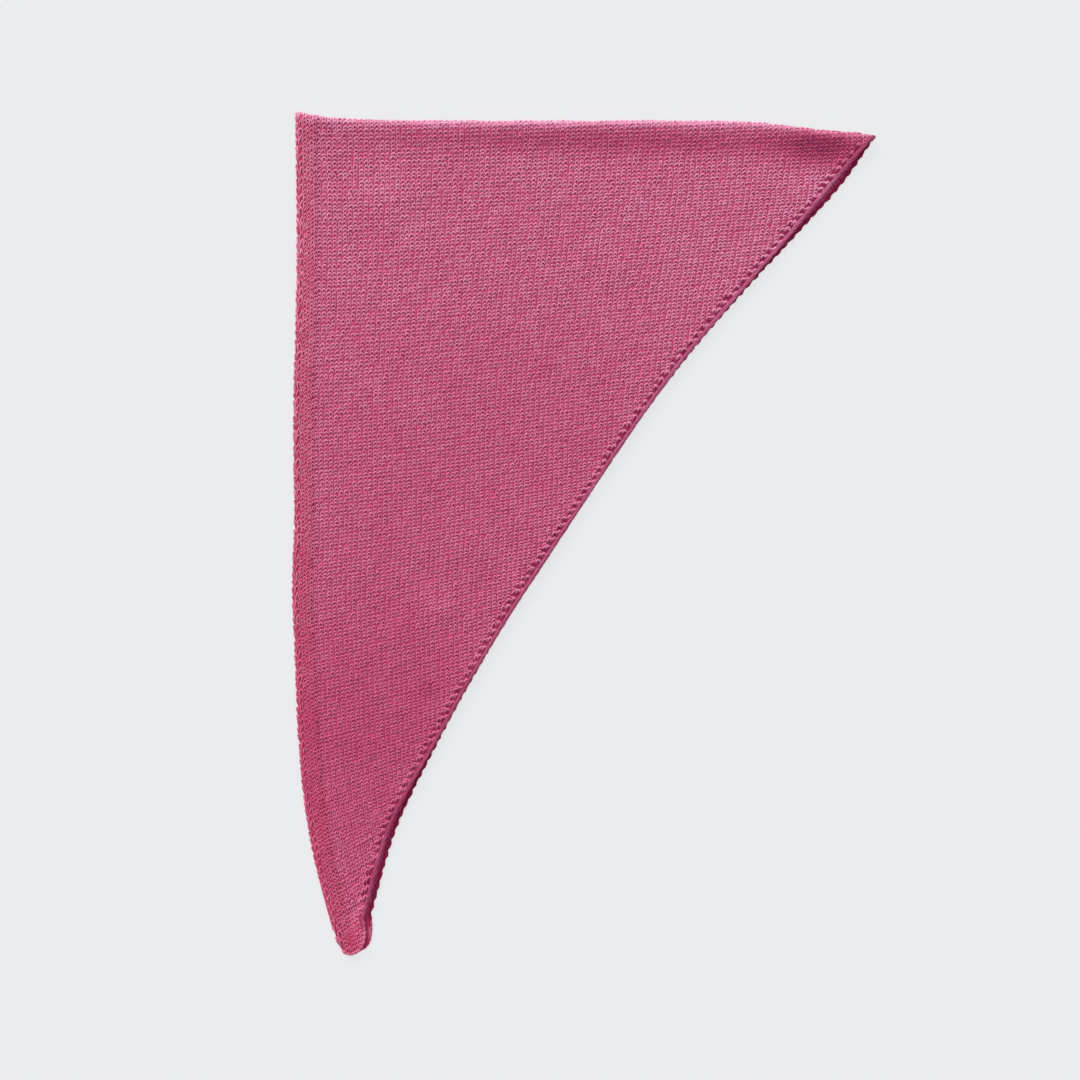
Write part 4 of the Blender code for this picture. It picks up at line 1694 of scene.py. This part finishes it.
@dataclass
class End:
    """The rounded end of one half, where its last stitches draw together.

    inner_chains lie on the lower half's inner face, where it shows past the upper half.
    """

    half: Half
    node: str
    word: str
    thins: float = 0.35
    rim_start: float = math.radians(38.0)
    core_shorter: float = 0.8 * MM
    core_narrower: float = 0.9 * MM
    core_thick: float = 0.55 * MM
    loop: float = 3.9 * MM
    inner_chains: tuple[Chain, ...] = (
        Chain("inner_rim", 1.1 * MM, -0.55 * MM, 0.90 * MM),
        Chain("inner_row_1", 3.2 * MM, -0.60 * MM, 0.85 * MM),
        Chain("inner_row_2", 5.3 * MM, -0.60 * MM, 0.85 * MM),
        Chain("inner_row_3", 7.4 * MM, -0.60 * MM, 0.85 * MM),
    )

    def frame(self) -> tuple[Array, Array, Array, float]:
        """Find the frame that the end is drawn in.

        Returns:
            The middle of the last course, the unit direction to the tip, the one across, and
            half the last course's width.
        """
        left = OUTLINE.side(self.half, Side.LONG_EDGE)[COURSE_POINTS - 1]
        right = OUTLINE.side(self.half, Side.SHAPED_EDGE)[COURSE_POINTS - 1]
        turn = OUTLINE.rounding(self.half).lean
        lean = np.array([math.sin(turn), -math.cos(turn)])
        return (left + right) / 2, lean, unit(right - left), float(np.linalg.norm(right - left)) / 2

    def core(self) -> bpy.types.Object:
        """Sweep the end's flat section from inside the last course to the tip.

        Returns:
            A closed bar, as wide as a power of the cosine of its reach, and thinner at both
            ends.
        """
        middle, lean, across, half_wide = self.frame()
        length, _, shoulder = OUTLINE.rounding(self.half)
        arc = np.linspace(math.radians(-24.0), math.radians(84.0), 24)
        reach = (length - self.core_shorter) * np.sin(arc)
        wide = (half_wide - self.core_narrower) * np.cos(arc) ** shoulder
        thick = self.core_thick * (1 - self.thins * np.sin(arc) ** 4)
        thick *= 0.2 + 0.8 * np.clip((reach + 5.0 * MM) / (8.0 * MM), 0.0, 1.0)
        angle = np.linspace(0.0, 2 * math.pi, 20, endpoint=False)
        section = np.sign(np.cos(angle)) * np.abs(np.cos(angle)) ** 0.6
        high = np.sign(np.sin(angle)) * np.abs(np.sin(angle)) ** 0.8
        flat = middle + lean * reach[:, None]
        flat = flat[:, None] + across * (wide[:, None] * section)[..., None]
        s = cloth_s(self.half, flat[..., 0], flat[..., 1], CORD_LAYER.start())
        points = CORD_LAYER.place(flat[..., 0], s, thick[:, None] * high)
        # The core carries full painted shade, where it shows between the loops
        return grid_object(f"{self.word}_end_core", points, True, 0.3, 1.0)

    def rim(self, inset: float, height: float, yarn: float, seed: int) -> Batch:
        """Lay a chain of loops round the end.

        Args:
            inset: How far inside the rim it runs.
            height: How far out of the layer's middle it lies.
            yarn: Half the width of its yarn.
            seed: The seed of its small random changes.

        Returns:
            The chain, from low on the long side to the start of the other side.
        """
        middle, lean, across, half_wide = self.frame()
        length, _, shoulder = OUTLINE.rounding(self.half)
        arc = np.linspace(0.0, math.radians(88.0), 60)
        reach = (length - inset) * np.sin(arc)
        wide = (half_wide - inset) * np.cos(arc) ** shoulder
        left = middle + lean * reach[:, None] - across * wide[:, None]
        right = middle + lean * reach[:, None] + across * wide[:, None]
        line = np.concatenate([left[arc > self.rim_start], right[::-1]])
        return plait(line, self.loop, 0.7 * yarn, yarn, 0.88 * yarn, height, seed)

    def build(self, wool: bpy.types.Material) -> list[bpy.types.Object]:
        """Make the end's pieces, dress them, and hide the CAD part that they stand in for.

        Args:
            wool: The end's material.

        Returns:
            The core, the last stitches and the chains round them.
        """
        core = self.core()
        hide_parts(self.node)
        stitches = Knitting(self.half, seed=7 + self.half.value).loops(end=True)
        chains = [Chain("rim", 1.1 * MM, 0.30 * MM, 0.90 * MM)]
        if self.half is Half.UNDER:
            chains += self.inner_chains
        made = [core, batch_object(f"{self.word}_end_loops", stitches, CORD_LAYER, self.half)]
        for number, chain in enumerate(chains):
            batch = self.rim(chain.inset, chain.height, chain.yarn, 91 + self.half.value + number)
            made.append(batch_object(f"{self.word}_end_{chain.word}", batch, CORD_LAYER, self.half))
        for piece in made:
            piece.data.materials.append(wool)
            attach(piece, "root")
        logging.info("%s end: %d pieces", self.word, len(made))
        return made


@dataclass(frozen=True)
class Fuzz:
    """The short fibres that stand out of the wool along the fold and the edges, and on top."""

    per_metre: float = 1500.0
    fold_per_metre: float = 4200.0
    nap: int = 3600
    length: float = 1.7 * MM
    thickness: float = 0.050 * MM

    def hairs(self, base: Array, way: Array, low: Array, rise: Array, seed: int) -> Batch:
        """Make curved hairs.

        Args:
            base: Where each hair starts in the plan.
            way: The unit direction of each one in the plan.
            low: How far out of the layer each one starts.
            rise: How much further out it ends.
            seed: The seed of its length and curl.

        Returns:
            A hair is its base plus its direction times its length times a share, plus a
            sideways curl times the share squared, drawn to a point.
        """
        chance = np.random.default_rng(seed)
        count = len(base)
        share = np.array([0.0, 0.3, 0.65, 1.0])
        length = self.length * np.clip(chance.normal(1.0, 0.4, (count, 1)), 0.3, 2.0)
        curl = length * chance.normal(0.0, 0.5, (count, 1))
        aside = np.stack([-way[:, 1], way[:, 0]], -1)
        path = np.empty((count, 4, 3))
        path[..., :2] = base[:, None] + way[:, None] * (share * length)[..., None]
        path[..., :2] += aside[:, None] * (share**2 * curl)[..., None]
        path[..., 2] = low[:, None] + rise[:, None] * share
        size = self.thickness * np.array([0.0, 1.0, 0.7, 0.0])[None].repeat(count, 0)
        batch = yarn_batch(path, size, size, np.clip(chance.normal(0.85, 0.2, count), 0.0, 1.0), 3)
        batch.depth[:] = 0.0
        return batch

    def along_side(self, half: Half, side: Side, seed: int) -> Batch:
        """Make the hairs that stand out of one side of a half.

        Args:
            half: The half on top or beneath.
            side: The long edge or the shaped one.
            seed: The seed of where they stand.

        Returns:
            Hairs that point away from the wool, each turned a little along the edge.
        """
        chance = np.random.default_rng(seed)
        points = OUTLINE.side(half, side)
        length = run_length(points)
        at = np.sort(chance.uniform(0.0, length[-1], int(length[-1] * self.per_metre)))
        base = read_along(at, length, points)
        slope = np.gradient(points, length, axis=0)
        run = unit(read_along(at, length, slope))
        out = np.stack([run[:, 1], -run[:, 0]], -1) * (1.0 if side is Side.LONG_EDGE else -1.0)
        way = unit(out + run * chance.normal(0.0, 0.7, (len(at), 1)))
        low = chance.uniform(-0.6, 0.7, len(at)) * MM
        return self.hairs(base - out * 0.6 * MM, way, low, chance.normal(0.0, 0.5, len(at)) * MM, seed)

    def along_fold(self) -> Batch:
        """Make the hairs of the fold.

        Returns:
            Hairs that stand out all the way round the fold's turn.
        """
        chance = np.random.default_rng(131)
        count = int(COURSES[0].right_in * MM * self.fold_per_metre)
        x = CORNER_X + chance.uniform(0.5, COURSES[0].right_in - 1.0, count) * MM
        y = OUTLINE.fold_y(x) + CLOTH_LAYER.start() - chance.normal(0.5, 2.2, count) * MM
        turn = chance.uniform(0.0, 2 * math.pi, count)
        way = np.stack([np.cos(turn), np.sin(turn) * 0.4], -1)
        low = np.full(count, 0.7 * MM)
        rise = np.abs(chance.normal(0.6, 0.4, count)) * MM
        return self.hairs(np.stack([x, y], -1), unit(way), low, rise, 132)

    def over_top(self) -> Batch:
        """Make the loose hairs of the top.

        Returns:
            Hairs that lie every way over the upper half, between its edges.
        """
        chance = np.random.default_rng(141)
        y = CORNER_Y - chance.uniform(8.0, 655.0, self.nap * 3) * MM
        left = OUTLINE.side_x(Half.OVER, Side.LONG_EDGE, y) + 3.0 * MM
        right = OUTLINE.side_x(Half.OVER, Side.SHAPED_EDGE, y) - 3.0 * MM
        x = CORNER_X + chance.uniform(0.0, COURSES[0].right_in, len(y)) * MM
        keep = (x > left) & (x < right) & (OUTLINE.fold_y(x) - y > 6.0 * MM)
        base = np.stack([x[keep], y[keep]], -1)[: self.nap]
        turn = chance.uniform(0.0, 2 * math.pi, len(base))
        low = np.full(len(base), 0.75 * MM)
        rise = np.abs(chance.normal(0.35, 0.25, len(base))) * MM
        return self.hairs(base, np.stack([np.cos(turn), np.sin(turn)], -1), low, rise, 142)

    def build(self, wool: bpy.types.Material, cord_wool_painted_shade: bpy.types.Material) -> list[bpy.types.Object]:
        """Make the hairs and dress them.

        Args:
            wool: The material of most of them.
            cord_wool_painted_shade: The material of those on the shaped edges.

        Returns:
            The hairs of the fold, of the top and of every edge.
        """
        made = [
            batch_object("Fold_fuzz", self.along_fold(), CLOTH_LAYER, Half.OVER),
            batch_object("Top_fuzz", self.over_top(), CLOTH_LAYER, Half.OVER),
        ]
        for half, word in HALVES:
            for side, edge in ((Side.LONG_EDGE, "long_edge"), (Side.SHAPED_EDGE, "shaped_edge")):
                batch = self.along_side(half, side, 151 + 2 * half.value + (side is Side.LONG_EDGE))
                made.append(batch_object(f"{word}_{edge}_fuzz", batch, CORD_LAYER, half))
        for piece in made:
            piece.data.materials.append(cord_wool_painted_shade if "shaped_edge" in piece.name else wool)
            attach(piece, "root")
        logging.info("Fuzz: %d pieces", len(made))
        return made


@dataclass(frozen=True)
class Studio:
    """The camera straight above, the even room light and the soft window on the fold's side."""

    height: float = 2.04
    middle: tuple[float, float] = (-0.0348, -0.0052)
    lens: float = 85.0
    sensor: float = 36.0
    nearest: float = 0.05
    room: float = 0.52
    window: float = 3.5
    window_softness: float = math.radians(34.0)
    window_tilt: float = math.radians(60.0)
    window_turn: float = math.radians(-30.0)

    def camera(self) -> bpy.types.Object:
        """Hang the camera.

        Returns:
            The camera, straight above the middle of the photograph's frame.
        """
        data = bpy.data.cameras.new("Camera")
        data.lens = self.lens
        data.sensor_width = self.sensor
        data.clip_start = self.nearest
        camera = linked("Camera", data)
        camera.location = (*self.middle, self.height)
        bpy.context.scene.camera = camera
        return camera

    def light(self) -> None:
        """Fill the room with even light and add one soft light from beyond the fold."""
        world = bpy.data.worlds.new("Room")
        world.use_nodes = True
        background = world.node_tree.nodes["Background"]
        background.inputs["Color"].default_value = (0.96, 0.98, 1.0, 1.0)
        background.inputs["Strength"].default_value = self.room
        bpy.context.scene.world = world
        data = bpy.data.lights.new("Window", "SUN")
        data.energy = self.window
        data.angle = self.window_softness
        data.color = (1.0, 0.99, 0.97)
        lamp = linked("Window", data)
        lamp.rotation_euler = (-self.window_tilt, 0.0, -self.window_turn)
        lamp.location = (0.0, 1.0, 1.5)
        view = bpy.context.scene.view_settings
        view.view_transform = "Standard"
        view.look = "None"


def main() -> None:
    """Build the studio, the wool and the shawl's pieces in order."""
    studio = Studio()
    studio.camera()
    studio.light()
    Floor().build()
    group = wool_group()
    field_wool = FIELD_WOOL.build(group)
    band_wool = BAND_WOOL.build(group)
    cord_wool_painted_shade = CORD_WOOL_PAINTED_SHADE.build(group)
    lower_cord_painted_shadow_wool = LOWER_CORD_PAINTED_SHADOW_WOOL.build(group)
    fuzz_wool = FUZZ_WOOL.build(group)
    body = Body()
    cloth = body.build(field_wool)
    edging = LongBand().build(band_wool)
    upper_cord = ShapedCord(Half.OVER, "decrease_edge_cord", "Upper", 0.5)
    edging += upper_cord.build(cord_wool_painted_shade, field_wool)
    # The lower cord's low shade and its darker wool are painted shadow cast by the upper half
    lower_cord = ShapedCord(Half.UNDER, "increase_edge_cord", "Lower", 0.1, scallop=0.22)
    edging += lower_cord.build(lower_cord_painted_shadow_wool, field_wool)
    edging += End(Half.OVER, "cast_off_end", "Upper").build(band_wool)
    edging += End(Half.UNDER, "cast_on_end", "Lower").build(band_wool)
    edging += Fuzz().build(fuzz_wool, cord_wool_painted_shade)


if __name__ == "__main__":
    logging.basicConfig(level=logging.INFO, format="%(message)s")
    main()
